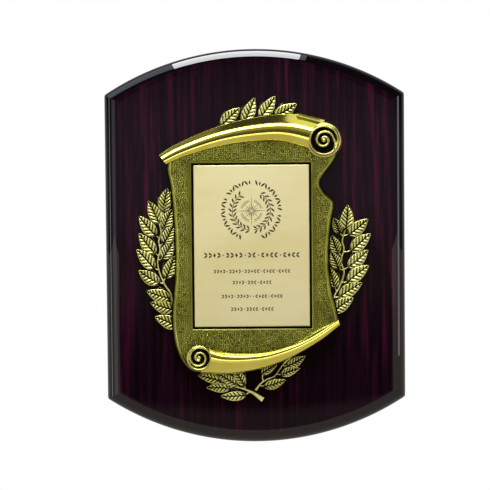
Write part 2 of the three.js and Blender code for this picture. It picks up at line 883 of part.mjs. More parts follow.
const rollScrewLength = panel.thickness + SEAT_GAP + rollScrew.bite - rollScrewSeat() + SEAT_GAP;
[...rollScrews.upper, ...rollScrews.lower].forEach((place, i) => {
  const screw = panScrew(rollScrew, rollScrewLength);
  piece(castingGroup, `roll_screw_${i + 1}`, screw, zincSteel, place.x, place.y, SEAT_GAP);
});

const washerSeat = counterbore.depth - SEAT_GAP - washer.thickness;
const headSeat = washerSeat - SEAT_GAP - castingScrew.headHeight;
const castingScrewTip = board.thickness + SEAT_GAP + castingScrew.bite;
const castingScrewLength = castingScrewTip - headSeat - castingScrew.headHeight;
castingScrewPlaces().forEach((place, i) => {
  piece(plaque, `casting_washer_${i + 1}`, washerBody(), zincSteel, place.x, place.y, washerSeat);
  const screw = panScrew(castingScrew, castingScrewLength);
  piece(plaque, `casting_screw_${i + 1}`, screw, zincSteel, place.x, place.y, headSeat);
});

piece(plaque, 'hanger_plate', hangerPlate(), zincSteel);
hangerScrewPlaces().forEach((place, i) => {
  piece(plaque, `hanger_screw_${i + 1}`, woodScrew(hangerScrew), zincSteel, place.x, place.y, SEAT_GAP);
});

export default plaque;
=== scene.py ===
"""The looks of the wall plaque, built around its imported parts.

An arched board under clear lacquer carries a cast scroll: a pebbled panel between two polished
rolls, two laurel branches and a satin plate with an engraved ornament. A keyhole hanger and four
screws are let into the back. Lengths inside the classes are millimetres in the plane of the
board's face: x to the right, y up and z out of the wall. A Seat turns them into the row frame.
"""

from __future__ import annotations

import logging
import math
from collections.abc import Callable, Sequence
from dataclasses import dataclass, field
from enum import Enum

import bmesh
import bpy
import numpy as np
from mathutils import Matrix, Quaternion, Vector


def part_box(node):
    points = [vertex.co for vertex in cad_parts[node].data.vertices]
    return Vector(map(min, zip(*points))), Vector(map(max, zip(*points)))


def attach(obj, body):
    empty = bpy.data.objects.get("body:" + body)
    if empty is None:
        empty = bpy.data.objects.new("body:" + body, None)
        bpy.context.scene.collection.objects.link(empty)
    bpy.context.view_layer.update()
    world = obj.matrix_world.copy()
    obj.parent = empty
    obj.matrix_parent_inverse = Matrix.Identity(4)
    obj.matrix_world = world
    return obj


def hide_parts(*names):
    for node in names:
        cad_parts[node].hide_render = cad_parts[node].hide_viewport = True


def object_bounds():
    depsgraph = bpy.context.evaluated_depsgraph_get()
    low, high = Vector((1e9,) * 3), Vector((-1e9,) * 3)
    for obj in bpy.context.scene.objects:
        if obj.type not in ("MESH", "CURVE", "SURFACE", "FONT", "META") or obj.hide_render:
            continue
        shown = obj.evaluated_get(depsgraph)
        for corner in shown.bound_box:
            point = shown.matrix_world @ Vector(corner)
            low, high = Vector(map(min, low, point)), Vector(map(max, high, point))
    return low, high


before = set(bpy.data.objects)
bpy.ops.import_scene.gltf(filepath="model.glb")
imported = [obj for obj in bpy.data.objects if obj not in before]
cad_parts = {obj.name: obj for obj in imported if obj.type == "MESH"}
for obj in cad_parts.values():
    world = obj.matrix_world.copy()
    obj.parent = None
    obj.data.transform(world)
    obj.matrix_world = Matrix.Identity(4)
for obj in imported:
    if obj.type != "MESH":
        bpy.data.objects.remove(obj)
CAD_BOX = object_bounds()

MM = 0.001
LOG = logging.getLogger("plaque")

Points = np.ndarray
Faces = list[Sequence[int]]
Worn = tuple[Points, Faces, Points]
Node = bpy.types.Node
Socket = bpy.types.NodeSocket


class Slot(Enum):
    """The record's material slots."""

    ROSEWOOD = "rosewood"
    ANTIQUE_BRASS = "antique_brass"
    POLISHED_BRASS = "polished_brass"
    SATIN_GOLD = "satin_gold"
    ADHESIVE = "adhesive"
    ZINC_STEEL = "zinc_steel"


# ---------------------------------------------------------------- places


@dataclass(frozen=True)
class Seat:
    """A place that a piece is drawn from, in metres of the row frame."""

    x: float
    y: float
    z: float

    def place(self, points: Points) -> Points:
        """Turns face-plane millimetres into the row frame.

        Args:
            points: Rows of x, y and z in millimetres, z out of the wall.

        Returns:
            The same rows in metres of the row frame.
        """
        return np.column_stack(
            (
                self.x + points[:, 0] * MM,
                self.y - points[:, 2] * MM,
                self.z + points[:, 1] * MM,
            )
        )


def middle(node: str) -> Vector:
    """The middle of a CAD node's box, in metres."""
    low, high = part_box(node)
    return (low + high) / 2


def extent(node: str) -> tuple[float, float, float]:
    """Width, height and depth of a CAD node in millimetres.

    Args:
        node: Its name.

    Returns:
        The three sizes.
    """
    low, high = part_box(node)
    size = (high - low) / MM
    return size.x, size.z, size.y


def board_seat() -> Seat:
    """The middle of the board's back."""
    at = middle("backing_board")
    return Seat(at.x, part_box("backing_board")[1].y, at.z)


def casting_seat() -> Seat:
    """The middle of the plate, on the plane that the casting stands on."""
    at = middle("engraved_plate")
    return Seat(at.x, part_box("scroll_panel")[1].y, at.z)


def across_and_up(node: str, seat: Seat) -> tuple[float, float]:
    """The middle of a CAD node, in a seat's millimetres across and up."""
    at = middle(node)
    return (at.x - seat.x) / MM, (at.z - seat.z) / MM


def back_and_front(node: str, seat: Seat) -> tuple[float, float]:
    """The back and the front of a CAD node, in a seat's millimetres out of the wall."""
    low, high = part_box(node)
    return (seat.y - high.y) / MM, (seat.y - low.y) / MM


PLATE_WIDTH, PLATE_HEIGHT, _ = extent("engraved_plate")


def spot(share_x: float, beyond_x: float, share_y: float, beyond_y: float) -> tuple[float, float]:
    """A point of the casting, from the plate's middle.

    Args:
        share_x: Share of the way from the plate's middle to its side edge.
        beyond_x: Millimetres on from there.
        share_y: Share of the way from the plate's middle to its upper edge.
        beyond_y: Millimetres on from there.

    Returns:
        The point's x and y in millimetres.
    """
    return share_x * PLATE_WIDTH / 2 + beyond_x, share_y * PLATE_HEIGHT / 2 + beyond_y


# ---------------------------------------------------------------- curves and fields


def smooth_curve(knots: Sequence[Sequence[float]], closed: bool = False, per_span: int = 24) -> Points:
    """A centripetal Catmull-Rom curve through its knots.

    Args:
        knots: The points that the curve passes through.
        closed: Whether the curve returns to its first knot.
        per_span: Points made between two knots.

    Returns:
        Rows of points along the curve.
    """
    base = np.asarray(knots, float)
    if closed:
        chain = np.vstack((base[-1:], base, base[:2]))
    else:
        chain = np.vstack((2 * base[:1] - base[1:2], base, 2 * base[-1:] - base[-2:-1]))
    share = np.linspace(0, 1, per_span, endpoint=False)[:, None]
    out = []
    for a, b, c, d in zip(chain, chain[1:], chain[2:], chain[3:]):
        gap = [max(math.sqrt(float(np.linalg.norm(q - p))), 1e-6) for p, q in ((a, b), (b, c), (c, d))]
        into = (b - a) / gap[0] - (c - a) / (gap[0] + gap[1]) + (c - b) / gap[1]
        away = (c - b) / gap[1] - (d - b) / (gap[1] + gap[2]) + (d - c) / gap[2]
        into, away = into * gap[1], away * gap[1]
        square = -3 * b + 3 * c - 2 * into - away
        cube = 2 * b - 2 * c + into + away
        out.append(b + into * share + square * share**2 + cube * share**3)
    if not closed:
        out.append(base[-1:])
    return np.vstack(out)


def spaced(path: Points, count: int, closed: bool = False) -> Points:
    """A path again with its points at equal distances.

    Args:
        path: Rows of points.
        count: How many points to return.
        closed: Whether the last point joins the first.

    Returns:
        The evenly spaced rows.
    """
    line = np.vstack((path, path[:1])) if closed else path
    travelled = np.concatenate(([0.0], np.cumsum(np.linalg.norm(np.diff(line, axis=0), axis=1))))
    stops = np.linspace(0, travelled[-1], count, endpoint=not closed)
    return np.column_stack([np.interp(stops, travelled, column) for column in line.T])


def distance_to(points: Points, path: Points, closed: bool = False) -> Points:
    """How far each point lies from a path, in the face plane.

    Args:
        points: Rows of x and y.
        path: Rows of x and y along the path.
        closed: Whether the path's last point joins its first.

    Returns:
        One distance for each point.
    """
    line = np.vstack((path, path[:1])) if closed else path
    start, step = line[:-1], np.diff(line, axis=0)
    square = np.maximum((step**2).sum(1), 1e-12)
    found = []
    for block in np.array_split(points, max(len(points) // 2000, 1)):
        along = ((block[:, None, :] - start) * step).sum(2) / square
        foot = start + np.clip(along, 0, 1)[..., None] * step
        found.append(np.sqrt(((block[:, None, :] - foot) ** 2).sum(2)).min(1))
    return np.concatenate(found)


def ease(value: Points, low: float, high: float) -> Points:
    """A smooth step from 0 at low to 1 at high."""
    share = np.clip((value - low) / (high - low), 0, 1)
    return share * share * (3 - 2 * share)


def scatter(cell_x: Points, cell_y: Points, salt: float) -> Points:
    """A repeatable number between 0 and 1 for each cell of a grid."""
    wave = np.sin(cell_x * 127.1 + cell_y * 311.7 + salt * 74.7) * 43758.5453
    return wave - np.floor(wave)


def pebbles(x: Points, y: Points, pitch: float, salt: float = 0.0) -> Points:
    """A pebbled ground: 1 on top of a pebble, 0 in the channel between two.

    Args:
        x: Places across, in millimetres.
        y: Places up, in millimetres.
        pitch: Average distance between pebbles.
        salt: Picks another scatter of pebbles.

    Returns:
        The height of the ground at each place, from 0 to 1.
    """
    column, row = np.floor(x / pitch), np.floor(y / pitch)
    nearest = np.full(x.shape, 9.0)
    second = np.full(x.shape, 9.0)
    for across in (-1, 0, 1):
        for up in (-1, 0, 1):
            cx, cy = column + across, row + up
            dx = cx + 0.1 + 0.8 * scatter(cx, cy, salt) - x / pitch
            dy = cy + 0.1 + 0.8 * scatter(cx, cy, salt + 5.0) - y / pitch
            away = np.sqrt(dx * dx + dy * dy)
            second = np.where(away < nearest, nearest, np.minimum(second, away))
            nearest = np.minimum(nearest, away)
    return np.clip((second - nearest) / 0.55, 0, 1) ** 0.7


# ---------------------------------------------------------------- shells


def wrap_quads(rings: int, size: int) -> Faces:
    """The faces between closed rings of equal size, one after another.

    Args:
        rings: How many rings.
        size: Points in each.

    Returns:
        The faces, as point numbers.
    """
    found: Faces = []
    for i in range(rings - 1):
        for j in range(size):
            after = (j + 1) % size
            found.append((i * size + j, i * size + after, (i + 1) * size + after, (i + 1) * size + j))
    return found


def lofted(rings: Points) -> tuple[Points, Faces]:
    """A closed body through rings of equal size.

    Args:
        rings: An array of rings, points and coordinates.

    Returns:
        Its points and its faces, with a flat cap at each end.
    """
    count, size = rings.shape[:2]
    faces = wrap_quads(count, size)
    faces.append(tuple(range(size - 1, -1, -1)))
    faces.append(tuple(range((count - 1) * size, count * size)))
    return rings.reshape(-1, 3), faces


def revolved(profile: Sequence[tuple[float, float]], x: float, y: float, facets: int) -> tuple[Points, Faces]:
    """A closed body turned about a line along z.

    Args:
        profile: Pairs of radius and z, off the axis.
        x: The axis's place across.
        y: The axis's place up.
        facets: How many facets it has around.

    Returns:
        Its points and its faces.
    """
    turn = np.linspace(0, 2 * math.pi, facets, endpoint=False)
    rings = [
        np.column_stack((x + radius * np.cos(turn), y + radius * np.sin(turn), np.full(facets, z)))
        for radius, z in profile
    ]
    return lofted(np.stack(rings))


def raised(outline: Points, z: float) -> Points:
    """An outline of the face plane, lifted to one height."""
    return np.column_stack((outline, np.full(len(outline), z)))


def upright(outline: Points, low: float, high: float) -> tuple[Points, Faces]:
    """A prism of an outline in the face plane, from one height to another."""
    return lofted(np.stack([raised(outline, low), raised(outline, high)]))


def rounded_box(width: float, height: float, radius: float, x: float = 0.0, y: float = 0.0) -> Points:
    """The outline of a rectangle with round corners, anticlockwise.

    Args:
        width: Its width.
        height: Its height.
        radius: Of each corner.
        x: Its middle, across.
        y: Its middle, up.

    Returns:
        The points.
    """
    turn = np.linspace(0, math.pi / 2, 9)
    across, up = width / 2 - radius, height / 2 - radius
    corners = []
    for k, (side_x, side_y) in enumerate(((1, 1), (-1, 1), (-1, -1), (1, -1))):
        angle = turn + k * math.pi / 2
        corners.append(
            np.column_stack(
                (x + side_x * across + radius * np.cos(angle), y + side_y * up + radius * np.sin(angle))
            )
        )
    return np.vstack(corners)


@dataclass
class Shell:
    """Closed bodies gathered in millimetres, to become one piece."""

    points: list[Points] = field(default_factory=list)
    faces: Faces = field(default_factory=list)
    relief: list[Points] = field(default_factory=list)
    total: int = 0

    def add(self, body: tuple[Points, Faces], relief: Points | float = 1.0) -> None:
        """Adds one closed body.

        Args:
            body: Its points and faces.
            relief: How far each point stands out of the antiqued ground, from 0 to 1.
        """
        points, faces = body
        self.points.append(points)
        self.faces.extend(tuple(index + self.total for index in face) for face in faces)
        self.relief.append(np.broadcast_to(np.asarray(relief, float), (len(points),)))
        self.total += len(points)

    def add_worn(self, body: Worn, wear: float = 1.0) -> None:
        """Adds one closed body with the relief of each of its points.

        Args:
            body: Its points, its faces and the relief of each point.
            wear: Share of that relief that it keeps.
        """
        points, faces, relief = body
        self.add((points, faces), relief * wear)

    def build(self, name: str, seat: Seat, crease: float = 40.0) -> bpy.types.Object:
        """Makes the piece.

        Args:
            name: The piece's name.
            seat: Where its millimetres are measured from.
            crease: Edges sharper than this many degrees stay crisp.

        Returns:
            The new object.
        """
        mesh = bpy.data.meshes.new(name)
        mesh.from_pydata(seat.place(np.vstack(self.points)).tolist(), [], self.faces)
        layer = mesh.attributes.new("relief", "FLOAT", "POINT")
        layer.data.foreach_set("value", np.concatenate(self.relief).astype(np.float32))
        face_out(mesh)
        finish_shading(mesh, crease)
        piece = bpy.data.objects.new(name, mesh)
        bpy.context.scene.collection.objects.link(piece)
        return piece


def face_out(mesh: bpy.types.Mesh) -> None:
    """Turns every face of a closed mesh outwards.

    Args:
        mesh: The mesh.
    """
    work = bmesh.new()
    work.from_mesh(mesh)
    bmesh.ops.recalc_face_normals(work, faces=work.faces)
    work.to_mesh(mesh)
    work.free()


def finish_shading(mesh: bpy.types.Mesh, crease: float) -> None:
    """Shades a mesh smooth, apart from edges sharper than crease degrees."""
    mesh.shade_smooth()
    mesh.set_sharp_from_angle(angle=math.radians(crease))


def carve(piece: bpy.types.Object, cutter: bpy.types.Object, crease: float = 40.0) -> None:
    """Cuts one mesh out of another and removes the cutter.

    Args:
        piece: The piece that is cut.
        cutter: The body that is taken away.
        crease: Edges sharper than this many degrees stay crisp.
    """
    cut = piece.modifiers.new("cut", "BOOLEAN")
    cut.operation = "DIFFERENCE"
    cut.solver = "EXACT"
    cut.object = cutter
    graph = bpy.context.evaluated_depsgraph_get()
    carved = bpy.data.meshes.new_from_object(piece.evaluated_get(graph))
    piece.modifiers.clear()
    carved.name = piece.name
    piece.data = carved
    bpy.data.objects.remove(cutter)
    finish_shading(carved, crease)


def deliver(piece: bpy.types.Object, slot: Slot | None, *nodes: str) -> None:
    """Hangs a finished piece on the frame.

    Args:
        piece: The piece.
        slot: The record's material slot, if it has one; it is not used.
        nodes: The CAD nodes that it stands for.
    """
    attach(piece, "root")
    if nodes:
        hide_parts(*nodes)
    stands_for = ", ".join(nodes) or "itself"
    LOG.info("%s: %d faces, stands for %s", piece.name, len(piece.data.polygons), stands_for)


# ---------------------------------------------------------------- finishes


def tone(code: str) -> tuple[float, float, float, float]:
    """A colour written as six hexadecimal digits, as linear light.

    Args:
        code: The six digits.

    Returns:
        Red, green, blue and an alpha of 1.
    """
    parts = [int(code[i : i + 2], 16) / 255 for i in (0, 2, 4)]
    linear = [p / 12.92 if p <= 0.04045 else ((p + 0.055) / 1.055) ** 2.4 for p in parts]
    return linear[0], linear[1], linear[2], 1.0


@dataclass
class Wiring:
    """A node tree with short calls for adding and joining nodes."""

    tree: bpy.types.NodeTree

    def add(self, kind: str, inputs: dict[str | int, object] | None = None, **settings: object) -> Node:
        """Adds a node.

        Args:
            kind: The node's type, without its "ShaderNode" prefix.
            inputs: Values or sockets for its inputs, by name or number.
            settings: The node's own properties.

        Returns:
            The new node.
        """
        name = kind if kind.startswith("NodeGroup") else f"ShaderNode{kind}"
        node = self.tree.nodes.new(name)
        for key, value in settings.items():
            setattr(node, key, value)
        for key, value in (inputs or {}).items():
            if isinstance(value, bpy.types.NodeSocket):
                self.tree.links.new(value, node.inputs[key])
            else:
                node.inputs[key].default_value = value
        return node

    def join(self, source: Socket, target: Socket) -> None:
        """Joins an output to an input."""
        self.tree.links.new(source, target)

    def maths(self, operation: str, first: object, second: object = 0.0, clamp: bool = False) -> Socket:
        """One sum on two values or sockets."""
        return self.add("Math", {0: first, 1: second}, operation=operation, use_clamp=clamp).outputs[0]

    def span(
        self, value: Socket, low: float, high: float, to_low: float = 0.0, to_high: float = 1.0
    ) -> Socket:
        """A value carried smoothly from one range to another."""
        given = {"Value": value, "From Min": low, "From Max": high, "To Min": to_low, "To Max": to_high}
        return self.add("MapRange", given, interpolation_type="SMOOTHSTEP").outputs["Result"]

    def blend(self, share: object, first: object, second: object) -> Socket:
        """A mix of two colours.

        Args:
            share: Of the second one.
            first: A colour or a socket.
            second: A colour or a socket.

        Returns:
            The mixed colour.
        """
        node = self.add("Mix", data_type="RGBA")
        for socket, value in ((node.inputs[0], share), (node.inputs[6], first), (node.inputs[7], second)):
            if isinstance(value, bpy.types.NodeSocket):
                self.join(value, socket)
            else:
                socket.default_value = value
        return node.outputs[2]

    def noise(self, place: Socket, scale: float, detail: float = 3.0, roughness: float = 0.55) -> Socket:
        """The value of a noise at a place."""
        given = {"Vector": place, "Scale": scale, "Detail": detail, "Roughness": roughness}
        return self.add("TexNoise", given).outputs[0]

    def stretched(self, place: Socket, scale: tuple[float, float, float]) -> Socket:
        """A place with its three coordinates scaled apart."""
        return self.add("Mapping", {"Vector": place, "Scale": scale}).outputs[0]


@dataclass(frozen=True)
class Port:
    """A named socket of an effect, with its kind and its first value."""

    name: str
    kind: str = "Float"
    value: float | tuple[float, ...] | None = None


def effect(
    name: str,
    takes: Sequence[Port],
    gives: Sequence[Port],
    wire: Callable[[Wiring, dict[str, Socket]], dict[str, Socket]],
) -> bpy.types.NodeTree:
    """Builds a shader node group once and returns it ever after.

    Args:
        name: The group's name.
        takes: Its inputs.
        gives: Its outputs.
        wire: Fills the group, and returns a socket for each output.

    Returns:
        The node group.
    """
    if name in bpy.data.node_groups:
        return bpy.data.node_groups[name]
    tree = bpy.data.node_groups.new(name, "ShaderNodeTree")
    for ports, side in ((takes, "INPUT"), (gives, "OUTPUT")):
        for port in ports:
            made = tree.interface.new_socket(port.name, in_out=side, socket_type=f"NodeSocket{port.kind}")
            if port.value is not None:
                made.default_value = port.value
    wiring = Wiring(tree)
    entry = wiring.add("NodeGroupInput")
    leave = wiring.add("NodeGroupOutput")
    made = wire(wiring, {port.name: entry.outputs[port.name] for port in takes})
    for key, socket in made.items():
        wiring.join(socket, leave.inputs[key])
    return tree


def wire_patina(w: Wiring, given: dict[str, Socket]) -> dict[str, Socket]:
    """Antiquing: dark in the hollows, rubbed bright where the relief stands out.

    Args:
        w: The wiring of the group.
        given: Its inputs.

    Returns:
        Its outputs.
    """
    cloud = w.noise(given["Vector"], 420.0, 4.0)
    drift = w.noise(given["Vector"], 38.0, 2.0)
    uneven = w.maths("MULTIPLY", w.maths("SUBTRACT", cloud, 0.5), given["Unevenness"])
    shown = w.maths("ADD", given["Relief"], uneven)
    low = w.maths("SUBTRACT", given["Threshold"], 0.22)
    high = w.maths("ADD", given["Threshold"], 0.3)
    mask = w.add(
        "MapRange", {"Value": shown, "From Min": low, "From Max": high}, interpolation_type="SMOOTHSTEP"
    ).outputs["Result"]
    warmer = w.span(drift, 0.35, 0.7)
    metal = w.blend(warmer, given["Bright"], given["Warm"])
    colour = w.blend(mask, given["Dark"], metal)
    rough = w.add(
        "MapRange", {"Value": mask, "To Min": given["Dull"], "To Max": given["Gloss"]}
    ).outputs["Result"]
    smudge = w.maths("MULTIPLY", w.maths("SUBTRACT", drift, 0.5), 0.08)
    return {
        "Colour": colour,
        "Roughness": w.maths("ADD", rough, smudge, clamp=True),
        "Height": w.maths("MULTIPLY", cloud, given["Unevenness"]),
    }


def patina() -> bpy.types.NodeTree:
    """The antiquing that both brasses share.

    Returns:
        The node group.
    """
    return effect(
        "patina",
        [
            Port("Vector", "Vector"),
            Port("Relief", "Float", 1.0),
            Port("Bright", "Color", tone("D8CC66")),
            Port("Warm", "Color", tone("C8A850")),
            Port("Dark", "Color", tone("14140A")),
            Port("Threshold", "Float", 0.4),
            Port("Unevenness", "Float", 0.3),
            Port("Gloss", "Float", 0.2),
            Port("Dull", "Float", 0.6),
        ],
        [Port("Colour", "Color"), Port("Roughness"), Port("Height")],
        wire_patina,
    )


def wire_grain(w: Wiring, given: dict[str, Socket]) -> dict[str, Socket]:
    """Straight upright grain: long soft streaks, fine pores and broad darker patches.

    Args:
        w: The wiring of the group.
        given: Its inputs.

    Returns:
        Its outputs.
    """
    place = given["Vector"]
    streak = w.noise(w.stretched(place, (235.0, 60.0, 9.0)), 1.0, 4.0, 0.62)
    band = w.noise(w.stretched(place, (34.0, 20.0, 5.0)), 1.0, 2.0)
    pore = w.noise(w.stretched(place, (1500.0, 900.0, 46.0)), 1.0, 2.0)
    open_ = w.span(band, 0.38, 0.68)
    shown = w.maths("MULTIPLY", w.span(streak, 0.47, 0.72), open_)
    ground = w.blend(w.span(streak, 0.3, 0.6), given["Dark"], given["Body"])
    colour = w.blend(w.maths("MULTIPLY", shown, given["Figure"]), ground, given["Streak"])
    pores = w.span(pore, 0.62, 0.72)
    deep = w.blend(w.maths("MULTIPLY", pores, 0.6), colour, given["Dark"])
    return {"Colour": deep, "Height": w.maths("SUBTRACT", streak, pores)}


def grain() -> bpy.types.NodeTree:
    """The wood grain that the lacquered and the bare wood share.

    Returns:
        The node group.
    """
    return effect(
        "wood_grain",
        [
            Port("Vector", "Vector"),
            Port("Dark", "Color", tone("0E080B")),
            Port("Body", "Color", tone("1C0E15")),
            Port("Streak", "Color", tone("5A1A30")),
            Port("Figure", "Float", 1.0),
        ],
        [Port("Colour", "Color"), Port("Height")],
        wire_grain,
    )


def wire_handling(w: Wiring, given: dict[str, Socket]) -> dict[str, Socket]:
    """Faint smears and hairlines from wiping and handling.

    Args:
        w: The wiring of the group.
        given: Its inputs.

    Returns:
        Its outputs.
    """
    smear = w.noise(w.stretched(given["Vector"], (9.0, 9.0, 22.0)), 1.0, 5.0, 0.6)
    hair = w.noise(w.stretched(given["Vector"], (1400.0, 1400.0, 60.0)), 1.0, 2.0)
    spread = w.maths("MULTIPLY", w.span(smear, 0.35, 0.75), given["Amount"])
    fine = w.maths("MULTIPLY", w.maths("SUBTRACT", hair, 0.5), given["Hairlines"])
    return {
        "Roughness": w.maths("ADD", w.maths("ADD", given["Base"], spread), fine, clamp=True),
        "Height": hair,
        "Mask": smear,
    }


def handling() -> bpy.types.NodeTree:
    """The wipe marks that every smooth finish carries.

    Returns:
        The node group.
    """
    return effect(
        "handling",
        [
            Port("Vector", "Vector"),
            Port("Base", "Float", 0.3),
            Port("Amount", "Float", 0.05),
            Port("Hairlines", "Float", 0.03),
        ],
        [Port("Roughness"), Port("Height"), Port("Mask")],
        wire_handling,
    )


@dataclass(frozen=True)
class Finish:
    """A finish that builds its material once, under its own name."""

    name: str

    def material(self) -> bpy.types.Material:
        """The finish as a material, made when it is first asked for.

        Returns:
            The material.
        """
        found = bpy.data.materials.get(self.name)
        if found:
            return found
        made = bpy.data.materials.new(self.name)
        made.use_nodes = True
        made.node_tree.nodes.clear()
        wiring = Wiring(made.node_tree)
        shader = wiring.add("BsdfPrincipled")
        end = wiring.add("OutputMaterial")
        wiring.join(shader.outputs[0], end.inputs[0])
        self.dress(wiring, shader)
        return made

    def dress(self, w: Wiring, shader: Node) -> None:
        """Wires the finish's own look into its shader.

        Args:
            w: The wiring of the material.
            shader: Its shader.
        """
        raise NotImplementedError

    @staticmethod
    def place(w: Wiring) -> Socket:
        """The piece's own coordinates, in metres."""
        return w.add("TexCoord").outputs["Object"]

    @staticmethod
    def bump(w: Wiring, shader: Node, height: Socket, depth: float, strength: float = 1.0) -> None:
        """Gives the shader a fine relief.

        Args:
            w: The material's wiring.
            shader: The Principled shader.
            height: The relief's height, from 0 to 1.
            depth: Its depth in millimetres.
            strength: How strongly it shows.
        """
        given = {"Height": height, "Distance": depth * MM, "Strength": strength}
        w.join(w.add("Bump", given).outputs[0], shader.inputs["Normal"])


@dataclass(frozen=True)
class Lacquer(Finish):
    """Dark red wood under a thick, polished clear coat, with painted shade on its rounded edge and sides."""

    name: str = "rosewood_lacquer"
    dark: str = "0E050A"
    body: str = "1C0915"
    streak: str = "4E1230"
    # Painted shade: the near-black base colour given to the rounded edge and the sides.
    edge: str = "060405"
    figure: float = 0.9
    coat: float = 1.0
    coat_roughness: float = 0.012

    def dress(self, w: Wiring, shader: Node) -> None:
        """Wires the grain under the coat, with painted shade on the rounded edge.

        Args:
            w: The wiring of the material.
            shader: Its shader.
        """
        place = self.place(w)
        wood = w.add("Group", node_tree=grain())
        w.join(place, wood.inputs["Vector"])
        wood.inputs["Dark"].default_value = tone(self.dark)
        wood.inputs["Body"].default_value = tone(self.body)
        wood.inputs["Streak"].default_value = tone(self.streak)
        wood.inputs["Figure"].default_value = self.figure
        # Painted shade: faces turned away from the front and the back (the roundover and the sides) take the
        # near-black edge colour instead of the grain.
        facing = w.add("SeparateXYZ", {0: w.add("TexCoord").outputs["Normal"]}).outputs["Y"]
        flat = w.span(w.maths("ABSOLUTE", facing), 0.93, 0.995)
        colour = w.blend(flat, tone(self.edge), wood.outputs["Colour"])
        w.join(colour, shader.inputs["Base Color"])
        marks = w.add("Group", {"Base": 0.42, "Amount": 0.1, "Hairlines": 0.02}, node_tree=handling())
        w.join(place, marks.inputs["Vector"])
        w.join(marks.outputs["Roughness"], shader.inputs["Roughness"])
        shader.inputs["Specular IOR Level"].default_value = 0.0
        shader.inputs["Coat Weight"].default_value = self.coat
        shader.inputs["Coat Roughness"].default_value = self.coat_roughness
        shader.inputs["Coat IOR"].default_value = 1.52
        self.bump(w, shader, wood.outputs["Height"], 0.02, 0.15)


@dataclass(frozen=True)
class BareWood(Finish):
    """The cut wood inside the recesses of the back."""

    name: str = "bare_wood"

    def dress(self, w: Wiring, shader: Node) -> None:
        """Wires an open, matt grain.

        Args:
            w: The wiring of the material.
            shader: Its shader.
        """
        place = self.place(w)
        wood = w.add("Group", {"Figure": 0.7}, node_tree=grain())
        w.join(place, wood.inputs["Vector"])
        wood.inputs["Dark"].default_value = tone("4A3020")
        wood.inputs["Body"].default_value = tone("6B4A33")
        wood.inputs["Streak"].default_value = tone("8A6244")
        w.join(wood.outputs["Colour"], shader.inputs["Base Color"])
        shader.inputs["Roughness"].default_value = 0.75
        self.bump(w, shader, wood.outputs["Height"], 0.15, 0.5)


@dataclass(frozen=True)
class Brass(Finish):
    """Cast brass, antiqued in its hollows and rubbed bright on its high spots."""

    name: str = "brass"
    bright: str = "E0D470"
    warm: str = "CDB050"
    dark: str = "121208"
    threshold: float = 0.4
    unevenness: float = 0.25
    gloss: float = 0.2
    dull: float = 0.6
    grit: float = 0.03

    def dress(self, w: Wiring, shader: Node) -> None:
        """Wires the patina by the piece's own relief.

        Args:
            w: The wiring of the material.
            shader: Its shader.
        """
        aged = w.add("Group", node_tree=patina())
        w.join(self.place(w), aged.inputs["Vector"])
        relief = w.add("Attribute", attribute_name="relief").outputs["Fac"]
        w.join(relief, aged.inputs["Relief"])
        aged.inputs["Bright"].default_value = tone(self.bright)
        aged.inputs["Warm"].default_value = tone(self.warm)
        aged.inputs["Dark"].default_value = tone(self.dark)
        aged.inputs["Threshold"].default_value = self.threshold
        aged.inputs["Unevenness"].default_value = self.unevenness
        aged.inputs["Gloss"].default_value = self.gloss
        aged.inputs["Dull"].default_value = self.dull
        w.join(aged.outputs["Colour"], shader.inputs["Base Color"])
        w.join(aged.outputs["Roughness"], shader.inputs["Roughness"])
        shader.inputs["Metallic"].default_value = 1.0
        self.bump(w, shader, aged.outputs["Height"], self.grit, 0.6)


@dataclass(frozen=True)
class SatinPlate(Finish):
    """Pale gold sheet with a fine satin face."""

    name: str = "satin_gold_sheet"
    colour: str = "EEE6B2"
    shade: str = "E4DA9A"

    def dress(self, w: Wiring, shader: Node) -> None:
        """Wires a faint brushed drift over the gold.

        Args:
            w: The wiring of the material.
            shader: Its shader.
        """
        place = self.place(w)
        marks = w.add("Group", {"Base": 0.36, "Amount": 0.06, "Hairlines": 0.06}, node_tree=handling())
        w.join(place, marks.inputs["Vector"])
        colour = w.blend(w.span(marks.outputs["Mask"], 0.3, 0.75), tone(self.colour), tone(self.shade))
        w.join(colour, shader.inputs["Base Color"])
        w.join(marks.outputs["Roughness"], shader.inputs["Roughness"])
        shader.inputs["Metallic"].default_value = 0.55
        self.bump(w, shader, marks.outputs["Height"], 0.01, 0.25)


@dataclass(frozen=True)
class Etching(Finish):
    """Dark oxide in the engraved strokes."""

    name: str = "engraving_oxide"
    colour: str = "2A2414"
    pale: str = "4A4228"

    def dress(self, w: Wiring, shader: Node) -> None:
        """Wires a slightly broken dark fill.

        Args:
            w: The wiring of the material.
            shader: Its shader.
        """
        spread = w.noise(self.place(w), 700.0, 2.0)
        colour = w.blend(w.span(spread, 0.4, 0.7), tone(self.colour), tone(self.pale))
        w.join(colour, shader.inputs["Base Color"])
        shader.inputs["Roughness"].default_value = 0.6


@dataclass(frozen=True)
class Steel(Finish):
    """Bright zinc-plated steel."""

    name: str = "zinc_plated_steel"

    def dress(self, w: Wiring, shader: Node) -> None:
        """Wires the cloudy zinc bloom.

        Args:
            w: The wiring of the material.
            shader: Its shader.
        """
        place = self.place(w)
        marks = w.add("Group", {"Base": 0.26, "Amount": 0.18, "Hairlines": 0.05}, node_tree=handling())
        w.join(place, marks.inputs["Vector"])
        bloom = w.noise(place, 260.0, 4.0)
        colour = w.blend(w.span(bloom, 0.35, 0.7), tone("C9CCCE"), tone("A2A6AC"))
        w.join(colour, shader.inputs["Base Color"])
        w.join(marks.outputs["Roughness"], shader.inputs["Roughness"])
        shader.inputs["Metallic"].default_value = 1.0
        self.bump(w, shader, marks.outputs["Height"], 0.01, 0.3)


